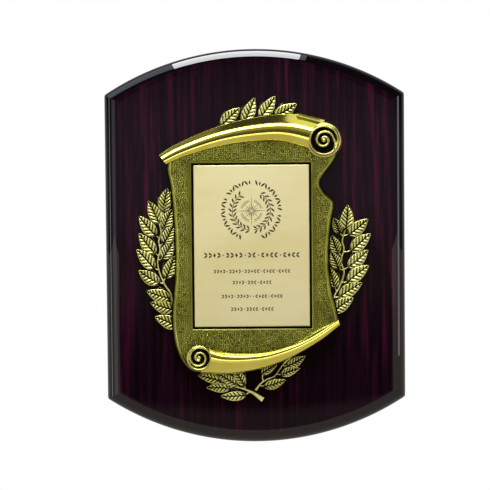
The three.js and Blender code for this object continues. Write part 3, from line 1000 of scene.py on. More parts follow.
@dataclass(frozen=True)
class FoamPad(Finish):
    """The black foam tape under the plate."""

    name: str = "foam_tape"

    def dress(self, w: Wiring, shader: Node) -> None:
        """Wires open foam cells.

        Args:
            w: The wiring of the material.
            shader: Its shader.
        """
        cells = w.add("TexVoronoi", {"Vector": self.place(w), "Scale": 1600.0}).outputs[0]
        colour = w.blend(w.span(cells, 0.1, 0.6), tone("0B0A09"), tone("26221D"))
        w.join(colour, shader.inputs["Base Color"])
        shader.inputs["Roughness"].default_value = 0.9
        self.bump(w, shader, cells, 0.1, 0.5)


LACQUER = Lacquer()
BARE_WOOD = BareWood()
PANEL_BRASS = Brass(
    "panel_patina", bright="B8BC54", warm="9A9C3E", dark="181E08", threshold=0.45,
    unevenness=0.12, gloss=0.3, dull=0.6, grit=0.05,
)
LEAF_BRASS = Brass(
    "laurel_patina", bright="EEF0A2", warm="D6D272", dark="080903", threshold=0.5,
    unevenness=0.14, gloss=0.36, dull=0.7, grit=0.03,
)
ROLL_BRASS = Brass(
    "roll_polish", bright="E8E270", warm="E0D05C", dark="14150A", threshold=0.4,
    unevenness=0.06, gloss=0.14, dull=0.5, grit=0.01,
)
VOLUTE_BRASS = Brass(
    "volute_patina", bright="DCD88C", warm="C2BC6E", dark="0B0C07", threshold=0.45,
    unevenness=0.12, gloss=0.24, dull=0.6, grit=0.02,
)
SATIN = SatinPlate()
ETCHING = Etching()
STEEL = Steel()
FOAM = FoamPad()


# ---------------------------------------------------------------- board


@dataclass
class BackingBoard:
    """The arched board: two arches, two straight sides and a rounded front edge."""

    arch_rise: float = 36.0
    edge_run: float = 12.0
    edge_drop: float = 10.0
    corner_radius: float = 3.0
    back_round: float = 0.8
    counterbore_radius: float = 6.2
    counterbore_depth: float = 9.0
    shank_hole: float = 2.3
    pocket_width: float = 13.0
    pocket_above: float = 12.0
    pocket_below: float = 9.0
    pocket_depth: float = 10.0
    recess_room: float = 0.3
    recess_corner: float = 5.3
    pocket_corner: float = 2.0
    bore_chamfer: float = 0.8
    screw_hole_radius: float = 1.8
    screw_hole_depth: float = 13.0
    crease: float = 50.0

    def outline(self, inset: float) -> Points:
        """The board's outline with its edge moved in.

        Args:
            inset: How far it is moved in.

        Returns:
            Rows of x and y, anticlockwise from the right side.
        """
        width, height, _ = extent("backing_board")
        half = width / 2
        arch = (half**2 + self.arch_rise**2) / (2 * self.arch_rise)
        reach, radius = half - inset, arch - inset
        fillet = max(self.corner_radius - inset, 0.15)
        centre = height / 2 - arch
        corner_x = reach - fillet
        corner_y = centre + math.sqrt((radius - fillet) ** 2 - corner_x**2)
        turn = math.atan2(corner_y - centre, corner_x)
        round_ = np.linspace(0, turn, 9)
        sweep = np.linspace(turn, math.pi - turn, 121)[1:-1]
        right = np.column_stack((corner_x + fillet * np.cos(round_), corner_y + fillet * np.sin(round_)))
        crown = np.column_stack((radius * np.cos(sweep), centre + radius * np.sin(sweep)))
        upper = np.vstack((right, crown, right[::-1] * (-1, 1)))
        return np.vstack((upper, -upper))

    def blank(self) -> tuple[Points, Faces]:
        """The board before anything is cut into its back.

        Returns:
            Its points and faces.
        """
        thickness = extent("backing_board")[2]
        levels = []
        for turn in np.linspace(0, math.pi / 2, 4):
            levels.append((self.back_round * (1 - math.sin(turn)), self.back_round * (1 - math.cos(turn))))
        for turn in np.linspace(0, math.pi / 2, 25):
            inset = self.edge_run * (1 - math.cos(turn))
            levels.append((inset, thickness - self.edge_drop * (1 - math.sin(turn))))
        levels.append((self.edge_run + 1.2, thickness))
        rings = []
        for inset, z in levels:
            flat = self.outline(inset)
            rings.append(raised(flat, z))
        return lofted(np.stack(rings))

    def cuts(self, seat: Seat) -> Shell:
        """Everything that is cut into the back.

        Args:
            seat: Where the board sits.

        Returns:
            The cutters.
        """
        below = -2.0
        shell = Shell()
        x, y = across_and_up("hanger_plate", seat)
        width, height, depth = extent("hanger_plate")
        room = 2 * self.recess_room
        recess = rounded_box(width + room, height + room, self.recess_corner, x, y)
        shell.add(upright(recess, below, depth + room))
        tall = self.pocket_above + self.pocket_below
        pocket_y = y + (self.pocket_above - self.pocket_below) / 2
        pocket = rounded_box(self.pocket_width, tall, self.pocket_corner, x, pocket_y)
        shell.add(upright(pocket, below, self.pocket_depth))
        return shell

    def bores(self, seat: Seat) -> Shell:
        """The counterbored holes for the casting's screws.

        Args:
            seat: Where the board sits.

        Returns:
            The cutters.
        """
        below = -2.0
        thickness = extent("backing_board")[2]
        depth = self.counterbore_depth
        shell = Shell()
        for i in range(1, 5):
            x, y = across_and_up(f"casting_screw_{i}", seat)
            profile = [
                (self.counterbore_radius + self.bore_chamfer, below),
                (self.counterbore_radius + self.bore_chamfer, -0.001),
                (self.counterbore_radius, self.bore_chamfer),
                (self.counterbore_radius, depth),
                (self.shank_hole, depth),
                (self.shank_hole, thickness + 1),
            ]
            shell.add(revolved(profile, x, y, 64))
        for i in (1, 2):
            x, y = across_and_up(f"hanger_screw_{i}", seat)
            hole = [(self.screw_hole_radius, below), (self.screw_hole_radius, self.screw_hole_depth)]
            shell.add(revolved(hole, x, y, 32))
        return shell

    def build(self) -> None:
        """Builds, cuts and dresses the board."""
        seat = board_seat()
        shell = Shell()
        shell.add(self.blank())
        board = shell.build("lacquered_board", seat, self.crease)
        carve(board, self.cuts(seat).build("recess_cutter", seat), self.crease)
        carve(board, self.bores(seat).build("bore_cutter", seat), self.crease)
        self.dress(board, seat)
        deliver(board, Slot.ROSEWOOD, "backing_board")

    def dress(self, board: bpy.types.Object, seat: Seat) -> None:
        """Lacquers the outside and leaves the cut recesses bare.

        Args:
            board: The cut board.
            seat: Where it sits.
        """
        mesh = board.data
        mesh.materials.clear()
        mesh.materials.append(LACQUER.material())
        mesh.materials.append(BARE_WOOD.material())
        skin, level = 0.02, 0.99999
        thickness = extent("backing_board")[2]
        openings = [(middle("hanger_plate"), max(extent("hanger_plate")) / 2 + 2)]
        openings += [(middle(f"casting_screw_{i}"), 2 * self.counterbore_radius) for i in range(1, 5)]
        for face in mesh.polygons:
            depth = (seat.y - face.center.y) / MM
            near = any(
                math.hypot(face.center.x - at.x, face.center.z - at.z) / MM < reach for at, reach in openings
            )
            face.material_index = 1 if near and skin < depth < thickness - skin else 0
            face.use_smooth = abs(face.normal.y) < level


# ---------------------------------------------------------------- laurel


@dataclass(frozen=True)
class Leaf:
    """One leaf: its blade's foot, the way it points, and its blade's length."""

    x: float
    y: float
    degrees: float
    length: float


@dataclass
class Sprig:
    """A wavy stem with leaves, measured from its own anchor."""

    anchor: tuple[float, float]
    stem: list[tuple[float, float]]
    leaves: list[Leaf]
    first_width: float = 2.3
    last_width: float = 1.5
    breadth: float = 1.0

    def places(self) -> Points:
        """The stem's knots on the casting."""
        return np.asarray(self.stem, float) + self.anchor

    def curve(self) -> Points:
        """The stem's line on the casting."""
        return smooth_curve(self.places())


@dataclass
class LaurelBranch:
    """A cast branch: sprigs joined by bare stems that run under the panel."""

    name: str
    node: str
    sprigs: list[Sprig]
    links: list[list[tuple[float, float]]]
    leaf_width: float = 10.9
    edge_height: float = 1.6
    stem_height: float = 2.4
    link_width: float = 2.3
    stalk_foot: float = 1.3
    stalk_tip: float = 1.0
    stalk_height: float = 2.0
    overlap_lift: float = 0.5
    shy_drop: float = -0.9
    shy_length: float = 10.5
    shy_lean: float = 38.0
    stem_reach: float = 1.5
    along: int = 70
    across: int = 41
    veins: float = 6.8
    vein_lean: float = 0.8

    def half_width(self, share: Points) -> Points:
        """A blade's half width at a share of its length."""
        return self.leaf_width / 2 * np.abs(np.sin(math.pi * np.clip(share, 0, 1) ** 0.76)) ** 0.82

    def leaf_body(
        self, leaf: Leaf, sprig: Sprig, lift: float, fine: float = 1.0
    ) -> Worn:
        """One blade: cupped halves, a sunk midrib, raised pads between side veins, and a rim.

        Args:
            leaf: Its place and size.
            sprig: The sprig that it grows on.
            lift: How far this leaf stands above its neighbours.
            fine: Share of the full number of points along and across.

        Returns:
            Its points, its faces and the relief of each point.
        """
        rows, columns = round(self.along * fine), round(self.across * fine)
        s, t = np.meshgrid(np.linspace(0, 1, rows), np.linspace(-1, 1, columns), indexing="ij")
        side = np.abs(t)
        size = min(leaf.length / 18, 1.0) * sprig.breadth
        reach = np.maximum(self.half_width(s) * size, 0.5 * (1 - s) + 0.15)
        a, b = s * leaf.length, side * reach
        pitch = leaf.length / self.veins
        phase = (a - self.vein_lean * b) / pitch + np.where(t > 0, 0.0, 0.4)
        off = phase - np.round(phase)
        vein = np.exp(-((off * pitch / 0.55) ** 2))
        pad = np.cos(math.pi * off) ** 2
        rib = np.exp(-((b / 0.36) ** 2))
        edge = (1 - side) * reach
        rim = np.exp(-(((edge - 0.42) / 0.27) ** 2))
        blade = ease(edge, 0.6, 1.0) * (1 - rib)
        cup = np.sin(math.pi * np.clip(side, 0, 1) ** 0.85) ** 0.9
        body = np.sin(math.pi * (0.06 + 0.88 * s)) ** 0.5
        z = self.edge_height + lift + body * (0.45 + 0.75 * cup) + 0.2 * s
        z += blade * (0.55 * (1 - pad) - 0.5 * vein) + 0.35 * rim - 0.55 * rib * body
        shown = 0.1 + blade * (0.6 + 0.4 * pad - 1.1 * vein) + 0.85 * rim - 0.3 * rib
        relief = np.clip(shown, 0, 1) * (0.5 + 0.5 * ease(s, 0.0, 0.2))
        bend = 0.45 * np.sin(math.pi * s) * (1 if leaf.degrees % 2 < 1 else -1)
        turn = math.radians(leaf.degrees)
        local_y = t * reach + bend
        x = sprig.anchor[0] + leaf.x + a * math.cos(turn) - local_y * math.sin(turn)
        y = sprig.anchor[1] + leaf.y + a * math.sin(turn) + local_y * math.cos(turn)
        top = np.stack((x, y, z), axis=2)
        return self.closed_patch(top, relief.ravel())

    @staticmethod
    def closed_patch(grid: Points, relief: Points) -> Worn:
        """Closes a grid of points down to the board.

        Args:
            grid: The grid's points, by row and column.
            relief: The relief of each point.

        Returns:
            All points, all faces and the relief of each point.
        """
        rows, columns = grid.shape[:2]
        top = grid.reshape(-1, 3)
        index = np.arange(rows * columns).reshape(rows, columns)
        faces: Faces = [
            (int(index[i, j]), int(index[i + 1, j]), int(index[i + 1, j + 1]), int(index[i, j + 1]))
            for i in range(rows - 1)
            for j in range(columns - 1)
        ]
        border = np.concatenate((index[:, 0], index[-1, 1:], index[-2::-1, -1], index[0, -2:0:-1]))
        waist, foot = top[border].copy(), top[border].copy()
        waist[:, 2] *= 0.5
        foot[:, 2] = 0.05
        size = len(border)
        first, second = len(top), len(top) + size
        for j in range(size):
            after = (j + 1) % size
            faces.append((int(border[after]), int(border[j]), first + j, first + after))
            faces.append((first + after, first + j, second + j, second + after))
        faces.append(tuple(range(second + size - 1, second - 1, -1)))
        return np.vstack((top, waist, foot)), faces, np.concatenate((relief, np.full(2 * size, 0.1)))

    def rod(self, line: Points, first: float, last: float, height: float) -> Worn:
        """A stem with a round top and a flat back along a line.

        Args:
            line: Rows of x and y.
            first: Its width at the start.
            last: Its width at the end.
            height: Its height above the board.

        Returns:
            Its points, its faces and the relief of each point.
        """
        along = np.gradient(line, axis=0)
        along /= np.maximum(np.linalg.norm(along, axis=1), 1e-9)[:, None]
        normal = np.column_stack((-along[:, 1], along[:, 0]))
        turn = np.linspace(-0.15 * math.pi, 1.15 * math.pi, 13)
        width = (last + (first - last) * np.linspace(1, 0, len(line)) ** 2.5) / 2
        rings = []
        for at, across, half in zip(line, normal, width):
            off = half * np.cos(turn)
            z = height * (0.42 + 0.58 * np.sin(turn))
            rings.append(np.column_stack((at + off[:, None] * across, np.maximum(z, 0.05))))
        points, faces = lofted(np.stack(rings))
        tops = np.broadcast_to(0.3 + 0.7 * np.clip(np.sin(turn), 0, 1), (len(rings), len(turn)))
        return points, faces, tops.ravel()

    def build(self) -> None:
        """Builds and dresses the branch."""
        shell = Shell()
        for sprig in self.sprigs:
            self.add_sprig(shell, sprig)
        for link in self.links:
            line = spaced(smooth_curve(link), 60)
            shell.add_worn(self.rod(line, self.link_width, self.link_width, self.stem_height))
        branch = shell.build(self.name, casting_seat(), 60.0)
        branch.data.materials.append(LEAF_BRASS.material())
        deliver(branch, Slot.ANTIQUE_BRASS, self.node)

    def add_sprig(self, shell: Shell, sprig: Sprig) -> None:
        """Adds a sprig's stem, stalks and leaves.

        Args:
            shell: What it is added to.
            sprig: The sprig.
        """
        curve = sprig.curve()
        line = spaced(curve, 90)
        shell.add_worn(self.rod(line, sprig.first_width, sprig.last_width, self.stem_height))
        for number, leaf in enumerate(sprig.leaves):
            foot = np.array((leaf.x, leaf.y)) + sprig.anchor
            turn = math.radians(leaf.degrees)
            way = np.array((math.cos(turn), math.sin(turn)))
            root = self.root_on(curve, foot, way)
            knots = np.vstack((root, (root + foot) / 2 + way * 0.3, foot + way * leaf.length * 0.12))
            stalk = spaced(smooth_curve(knots), 16)
            shell.add_worn(self.rod(stalk, self.stalk_foot, self.stalk_tip, self.stalk_height))
            lift = 0.0 if number % 2 else self.overlap_lift
            shell.add_worn(self.leaf_body(leaf, sprig, lift))
            shell.add_worn(self.leaf_body(self.shy_leaf(leaf), sprig, self.shy_drop, fine=0.4), 0.6)

    def shy_leaf(self, leaf: Leaf) -> Leaf:
        """The small leaf that peeps out behind a leaf, on its upper side.

        Args:
            leaf: The leaf in front.

        Returns:
            The small one.
        """
        turn = math.radians(leaf.degrees)
        lean = -self.shy_lean if leaf.degrees > 90 else self.shy_lean
        start = 0.2 * leaf.length
        x, y = leaf.x + start * math.cos(turn), leaf.y + start * math.sin(turn)
        return Leaf(x, y, leaf.degrees + lean, self.shy_length)

    @staticmethod
    def root_on(curve: Points, foot: Points, way: Points) -> Points:
        """Where a leaf's stalk leaves the stem: a little behind the nearest place."""
        away = np.linalg.norm(curve - (foot - way * 1.5), axis=1)
        return curve[int(away.argmin())]

    def covers(self, points: Points, room: float) -> Points:
        """Which points of the face plane lie over this branch, with some room.

        Args:
            points: The points.
            room: Room round the branch.

        Returns:
            True for each point over it.
        """
        found = np.zeros(len(points), bool)
        for sprig in self.sprigs:
            found |= distance_to(points, sprig.places()) < self.stem_reach + room
            for leaf in sprig.leaves:
                turn = math.radians(leaf.degrees)
                off = points - (np.array((leaf.x, leaf.y)) + sprig.anchor)
                a = off[:, 0] * math.cos(turn) + off[:, 1] * math.sin(turn)
                b = np.abs(-off[:, 0] * math.sin(turn) + off[:, 1] * math.cos(turn))
                inside = (a > -room) & (a < leaf.length + room)
                found |= inside & (b < self.half_width(a / leaf.length) + room)
        for link in self.links:
            found |= distance_to(points, np.asarray(link, float)) < self.stem_reach + room
        return found


def leaves(*rows: tuple[float, float, float, float]) -> list[Leaf]:
    """Leaves from rows of x, y, degrees and length."""
    return [Leaf(*row) for row in rows]


def left_side() -> Sprig:
    """The sprig to the left of the panel.

    Returns:
        The sprig.
    """
    return Sprig(
        spot(-1, -27, 0, 0),
        [
            (11, -60), (7.4, -37.5), (3.5, -31.7), (-1, -20.9), (-2.6, -12.7),
            (-0.5, -2.9), (-1.4, 4.5), (0.4, 10.4), (-0.6, 17.7),
        ],
        leaves(
            (13.5, -65, 155, 21), (11, -51.3, 162, 21), (7.6, -42, 162, 20.5), (-0.8, -29.9, 148, 20.5),
            (-5, -18.5, 131, 22), (-4, -6.2, 128, 22), (-3.4, 8.3, 130, 21.5), (-0.8, 17.7, 115, 21),
            (3.8, -26, 69, 20), (1, -10.3, 59, 18), (2.2, 2, 61, 18), (2.4, 13.5, 66, 18),
            (2.6, 27.2, 80, 20),
        ),
    )


def right_side() -> Sprig:
    """The sprig to the right of the panel.

    Returns:
        The sprig.
    """
    return Sprig(
        spot(1, 27, 0, 0),
        [
            (-10, -55), (-7, -40.7), (-3, -33.7), (0.8, -22.3), (-1.4, -13),
            (0.8, -2.9), (-0.4, 3), (1, 9.1), (2.2, 12.5),
        ],
        leaves(
            (-9, -54, 34, 21), (-3.8, -42.4, 32, 23), (3, -30.4, 38, 23), (3.8, -18.4, 41, 22),
            (6.2, -5.7, 42, 22), (4.2, 7.7, 39, 21), (2.2, 11.6, 85, 21), (-6.4, -35, 104, 18),
            (-3.6, -19.7, 113, 16), (-3.6, -6.9, 110, 16), (-2.5, 9, 111, 14),
        ),
    )


def top_sprig() -> Sprig:
    """The sprig behind the upper roll.

    Returns:
        The sprig.
    """
    return Sprig(
        spot(0, 0, 1, 35.5),
        [(-38, -18), (-26, -7), (-8, -3), (8, 0), (20, 2.4)],
        leaves(
            (-24, -4.9, 44, 22), (-6.1, -2.4, 65.5, 23),
            (7.1, 1.5, 55, 22), (18.4, 2.7, 29, 21.5),
        ),
    )


def bottom_left() -> Sprig:
    """The sprig below the lower roll, to the left, with the branch's thick cut end.

    Returns:
        The sprig.
    """
    return Sprig(
        spot(0, 0, -1, -50.5),
        [(8, -9.3), (-0.8, -3.2), (-8, -0.2), (-18.1, 2.8), (-26, 8)],
        leaves(
            (-25.3, 6, 165, 20), (-18.1, 0, 177, 20), (-5.1, -5.2, 182, 21.5),
            (-12.4, 2.1, 147, 18), (-6.5, 2, 123, 18),
        ),
        first_width=4.4,
        last_width=0.9,
        breadth=0.74,
    )


def bottom_right() -> Sprig:
    """The sprig below the lower roll, to the right.

    Returns:
        The sprig.
    """
    return Sprig(
        spot(0, 0, -1, -50.5),
        [(2.2, -1.4), (6.5, 4.1), (10.9, 6.9), (17.4, 9.8), (20.3, 13.4), (25, 20)],
        leaves(
            (27.2, 17.6, 29, 17.5), (22.3, 10.5, 20, 17), (8.6, 1.2, 17.5, 19), (6.6, 11.4, 32, 16),
        ),
        first_width=2.2,
        last_width=1.0,
        breadth=0.74,
    )


def end_of(sprig: Sprig, which: int) -> tuple[float, float]:
    """The first (0) or the last (-1) knot of a sprig's stem."""
    x, y = sprig.places()[which]
    return float(x), float(y)


def branches() -> list[LaurelBranch]:
    """The two branches of the casting.

    Returns:
        The left one and the right one.
    """
    foot, side, crown = bottom_left(), left_side(), top_sprig()
    left = LaurelBranch(
        "laurel_left",
        "laurel_branch_left",
        [foot, side, crown],
        [
            [end_of(foot, -1), spot(-1, -2, -1, -21), end_of(side, 0)],
            [end_of(side, -1), spot(-1, -22, 0.56, 0), end_of(crown, 0)],
        ],
    )
    foot, side = bottom_right(), right_side()
    right = LaurelBranch(
        "laurel_right",
        "laurel_branch_right",
        [foot, side],
        [[end_of(foot, -1), spot(1, 1, -1, -10), end_of(side, 0)]],
    )
    return [left, right]


# ---------------------------------------------------------------- panel


@dataclass
class ScrollPanel:
    """The pebbled sheet with its drafted edge, its rim and the window for the plate."""

    thickness: float = 8.0
    recess: float = 2.6
    margin: float = 1.9
    under_roll: float = 5.0
    draft: float = 1.3
    rim_in: float = 2.3
    rim_width: float = 0.8
    ground: float = 6.7
    pebble_pitch: float = 1.45
    pebble_depth: float = 0.6
    back_rim: float = 7.0
    hollow: float = 2.0
    over_branch: float = 3.6
    around: int = 1240
    steps: int = 70

    def outline(self) -> Points:
        """The panel's own edge; it runs under both rolls.

        Returns:
            A closed outline.
        """
        under = self.under_roll
        right = [
            spot(1, 24, 1, 17), spot(1, 22.5, 1, 6), spot(1, 11.7, 1, -9.7), spot(1, 9.4, 1, -14.5),
            spot(1, 12.3, 1, -21), spot(1, 20.2, 1, -29.5), spot(1, 18, 0.28, 0), spot(1, 16, -0.12, 0),
            spot(1, 17.8, -0.53, 0), spot(1, 22.6, -0.84, 0), spot(1, 23.4, -1, 3),
        ]
        left = [
            spot(-1, 0.1, -1, -37.4), spot(-1, -9, -1, -31), spot(-1, -16, -1, -16.5),
            spot(-1, -18.7, -0.88, 0), spot(-1, -16.2, -0.37, 0), spot(-1, -16, 0.12, 0),
            spot(-1, -18.6, 0.7, 0),
        ]
        top = [
            spot(-1, -21.5, 1, 1), spot(-1, -15, 1, 16.3 - under), spot(-0.57, 0, 1, 30.9 - under),
            spot(0.2, 0, 1, 38.8 - under), spot(0.8, 0, 1, 40.1 - under), spot(1, 12, 1, 35 - under),
        ]
        bottom = [
            spot(1, 7, -1, -12 + under), spot(0.62, 0, -1, -26.3 + under),
            spot(0.14, 0, -1, -34.3 + under), spot(-0.42, 0, -1, -38.4 + under),
        ]
        return spaced(smooth_curve([*top, *right, *bottom, *left], closed=True), self.around, closed=True)

    def window(self, edge: Points) -> Points:
        """The window's own points, one on the way in from each point of the edge.

        Args:
            edge: The outline of the panel.

        Returns:
            The outline of the window.
        """
        half = np.array((PLATE_WIDTH / 2 + self.margin, PLATE_HEIGHT / 2 + self.margin))
        reach = np.abs(edge) / half
        inner = edge / reach.max(1)[:, None]
        for side_x in (-1, 1):
            for side_y in (-1, 1):
                corner = half * (side_x, side_y)
                inner[int(np.linalg.norm(inner - corner, axis=1).argmin())] = corner
        return inner

    def surface(self, places: Points, edge: Points) -> tuple[Points, Points]:
        """The front of the panel.

        Args:
            places: Rows of x and y.
            edge: The panel's edge.

        Returns:
            The height and the relief at each place.
        """
        x, y = places.T
        inward = distance_to(places, edge[::3], closed=True)
        half_x, half_y = PLATE_WIDTH / 2 + self.margin, PLATE_HEIGHT / 2 + self.margin
        beyond = np.hypot(np.maximum(np.abs(x) - half_x, 0), np.maximum(np.abs(y) - half_y, 0))
        beside = np.maximum(np.abs(x) - half_x, 0)
        wall = ease(inward, 0.0, self.draft)
        crest = np.exp(-(((inward - self.rim_in) / self.rim_width) ** 2))
        ground = ease(inward, self.rim_in, self.rim_in + 2.0)
        stones = 0.72 * pebbles(x, y, self.pebble_pitch) + 0.28 * pebbles(x, y, self.pebble_pitch * 0.62, 3.0)
        level = np.abs(y) < half_y
        calm = np.where(level, ease(beside, 0.6, 6.5), ease(beyond, 0.4, 2.2))
        strength = ground * (0.25 + 0.75 * calm) * ease(beyond, 0.3, 1.2)
        lip = np.exp(-((beyond / 0.5) ** 2))
        swell = 0.6 * ease(inward, self.rim_in, 14.0)
        z = wall * (self.ground - 0.9 + 0.9 * ease(inward, self.draft, self.rim_in + 1.0))
        z += (self.thickness - self.ground - 0.1) * crest + swell * ground
        z += self.pebble_depth * strength * (stones - 0.5) - 0.25 * lip
        relief = 0.6 + 0.5 * crest + strength * (stones - 0.62) * 1.2
        relief -= 0.5 * (1 - wall) + 0.3 * ease(self.rim_in - inward, 0.4, 1.2)
        relief += 0.25 * lip
        return z, np.clip(relief, 0, 1)

    def build(self, laurel: Sequence[LaurelBranch]) -> None:
        """Builds and dresses the panel, clear of the branches that pass below it.

        Args:
            laurel: The branches.
        """
        edge = self.outline()
        inner = self.window(edge)
        fine = np.linspace(0, 0.09, 8)
        shares = np.unique(np.concatenate((fine, np.linspace(0, 1, self.steps))).round(5))
        rings, relief = [], []
        for share in shares:
            places = edge + (inner - edge) * share
            z, shown = self.surface(places, edge)
            rings.append(np.column_stack((places, z)))
            relief.append(shown)
        over = np.zeros(len(edge), bool)
        for branch in laurel:
            over |= branch.covers(edge, 0.4)
        foot = np.where(over, self.over_branch, 0.15)
        rings[0][:, 2] = np.maximum(rings[0][:, 2], foot + 0.8)
        toward = (inner - edge) / np.linalg.norm(inner - edge, axis=1)[:, None]
        back = edge + toward * self.back_rim
        behind = [
            np.column_stack((back, np.maximum(foot, self.hollow))),
            np.column_stack((back, foot)),
            np.column_stack((edge + toward * 0.3, foot)),
            np.column_stack((edge, foot + 0.3)),
        ]
        floor = self.thickness - self.recess
        well = [
            raised(inner, self.ground + 0.05),
            raised(inner * 0.999, floor),
        ]
        stack = np.stack([*behind, *rings, *well])
        dark = [np.full(len(edge), 0.05)] * len(behind)
        pit = [np.full(len(edge), 0.35), np.full(len(edge), 0.0)]
        shell = Shell()
        shell.add(lofted(stack), np.concatenate([*dark, *relief, *pit]))
        panel = shell.build("pebbled_panel", casting_seat(), 55.0)
        panel.data.materials.append(PANEL_BRASS.material())
        deliver(panel, Slot.ANTIQUE_BRASS, "scroll_panel")


# ---------------------------------------------------------------- rolls


@dataclass
class Volute:
    """The rolled end of a scroll: a ridge that winds in to an eye, with deep grooves between."""

    centre: tuple[float, float]
    radius: float
    height: float
    foot_radius: float
    start: float
    inner_start: float
    turns: float
    closed_ring: bool
    ridge: float = 1.35
    groove: float = 4.4
    eye: float = 1.9

    def line(self) -> Points:
        """The ridge's line, winding in.

        Returns:
            Its points.
        """
        turn = np.linspace(0, self.turns * 2 * math.pi, 420)
        share = turn / turn[-1]
        radius = self.inner_start + (self.eye - self.inner_start) * share
        if self.closed_ring:
            outer = self.radius - self.ridge
            blend = ease(turn, 0.0, math.radians(75))
            radius = outer + (radius - outer) * blend
        angle = turn + math.radians(self.start)
        return np.column_stack(
            (self.centre[0] + radius * np.cos(angle), self.centre[1] + radius * np.sin(angle))
        )

    def ring(self) -> Points:
        """The outermost ring.

        Returns:
            Its points.
        """
        turn = np.linspace(0, 2 * math.pi, 181)
        reach = self.radius - self.ridge
        return np.column_stack(
            (self.centre[0] + reach * np.cos(turn), self.centre[1] + reach * np.sin(turn))
        )

    def body(self, facets: int = 168, steps: int = 74) -> Worn:
        """The volute as a closed body.

        Args:
            facets: Points around.
            steps: Rings from the rim to the eye.

        Returns:
            Its points, its faces and the relief of each point.
        """
        turn = np.linspace(0, 2 * math.pi, facets, endpoint=False)
        way = np.column_stack((np.cos(turn), np.sin(turn)))
        radii = np.linspace(self.radius, 0.12, steps)
        flat = (np.asarray(self.centre) + radii[:, None, None] * way).reshape(-1, 2)
        near = distance_to(flat, self.line())
        near = np.minimum(near, distance_to(flat, self.ring()))
        crown = np.clip(1 - (near / self.ridge) ** 2, 0, 1) ** 0.5
        away = np.hypot(*(flat - self.centre).T)
        button = np.clip(1 - (away / self.eye) ** 2, 0, 1) ** 0.5
        shown = np.maximum(crown, 0.85 * button)
        slope = 0.9 * (1 - np.clip(away / self.radius, 0, 1))
        z = self.height - self.groove * (1 - shown) * (0.55 + 0.45 * away / self.radius) - slope
        relief = 0.08 + 0.92 * shown
        rings = [np.column_stack((flat, z)).reshape(steps, facets, 3)]
        wide, high = self.foot_radius - self.radius, self.height - self.groove * 0.9
        sides = [
            (self.radius + wide * math.cos(a) + 0.02, 0.1 + (high - 0.1) * math.sin(a))
            for a in np.linspace(0, math.pi / 2, 8)
        ]
        walls = [
            np.column_stack((np.asarray(self.centre) + r * way, np.full(facets, h))) for r, h in sides
        ]
        points, faces = lofted(np.concatenate((np.stack(walls), rings[0])))
        edge = np.full(len(walls) * facets, 0.75 if wide > 0 else 0.22)
        return points, faces, np.concatenate((edge, relief))


@dataclass
class ScrollRoll:
    """A polished roll: a crowned band between two edges, with a volute at its thick end."""

    name: str
    node: str
    outer: list[tuple[float, float]]
    inner: list[tuple[float, float]]
    volute: Volute
    profile: tuple[tuple[float, float], ...] = ()
    full_chord: float = 27.0
    thick_top: float = 13.4
    thin_top: float = 9.6
    extras: list[Points] = field(default_factory=list)
    along: int = 190
    across: int = 60

    def drops(self, share: Points) -> Points:
        """How far the band lies below its crest over its chord.

        Args:
            share: Places from the inner edge (0) to the outer edge (1).

        Returns:
            The drop at each place, in millimetres for the full chord.
        """
        knots = np.asarray(self.profile, float)
        dense = smooth_curve(knots, per_span=12)
        return np.interp(share, np.maximum.accumulate(dense[:, 0]), dense[:, 1])

    def band(self) -> Worn:
        """The band as a closed body.

        Returns:
            Its points, its faces and their relief.
        """
        outer = spaced(smooth_curve(self.outer), self.along)
        inner = spaced(smooth_curve(self.inner), self.along)
        share = np.linspace(0, 1, self.across)
        drop = self.drops(share)
        rings, relief = [], []
        for far, near in zip(outer, inner):
            chord = float(np.linalg.norm(far - near))
            thick = min(chord / self.full_chord, 1.0)
            top = self.thin_top + (self.thick_top - self.thin_top) * float(ease(np.float64(thick), 0.3, 0.95))
            flat = near + (far - near) * share[:, None]
            z = np.maximum(top - drop * thick, 0.6)
            away = np.hypot(*(flat - self.volute.centre).T)
            sunk = self.volute.height - self.volute.groove - 1.5
            z = np.where(away < self.volute.radius - 0.9, np.minimum(z, sunk), z)
            base = np.array(((far[0], far[1], 0.3), (near[0], near[1], 0.3)))
            rings.append(np.vstack((np.column_stack((flat, z)), base)))
            # Painted shade: the band goes dark over its last fraction at both edges, a dark line under the
            # roll where it meets the panel.
            shown = 0.3 + 0.8 * np.minimum(ease(share, 0.0, 0.03), ease(1 - share, 0.0, 0.03))
            shown = np.where(away < self.volute.radius - 0.9, 0.0, shown)
            relief.append(np.concatenate((shown, (0.1, 0.1))))
        points, faces = lofted(np.stack(rings))
        return points, faces, np.clip(np.concatenate(relief), 0, 1)

    def build(self) -> None:
        """Builds and dresses the roll."""
        shell = Shell()
        shell.add_worn(self.band())
        first = len(shell.faces)
        shell.add_worn(self.volute.body())
        last = len(shell.faces)
        for sheet in self.extras:
            points, faces = upright(sheet, 6.0, 8.8)
            points[[4, 7], 2] -= 1.5
            shell.add((points, faces), 0.42)
        piece = shell.build(self.name, casting_seat(), 62.0)
        piece.data.materials.append(ROLL_BRASS.material())
        piece.data.materials.append(VOLUTE_BRASS.material())
        for face in piece.data.polygons[first:last]:
            face.material_index = 1
        deliver(piece, Slot.POLISHED_BRASS, self.node)


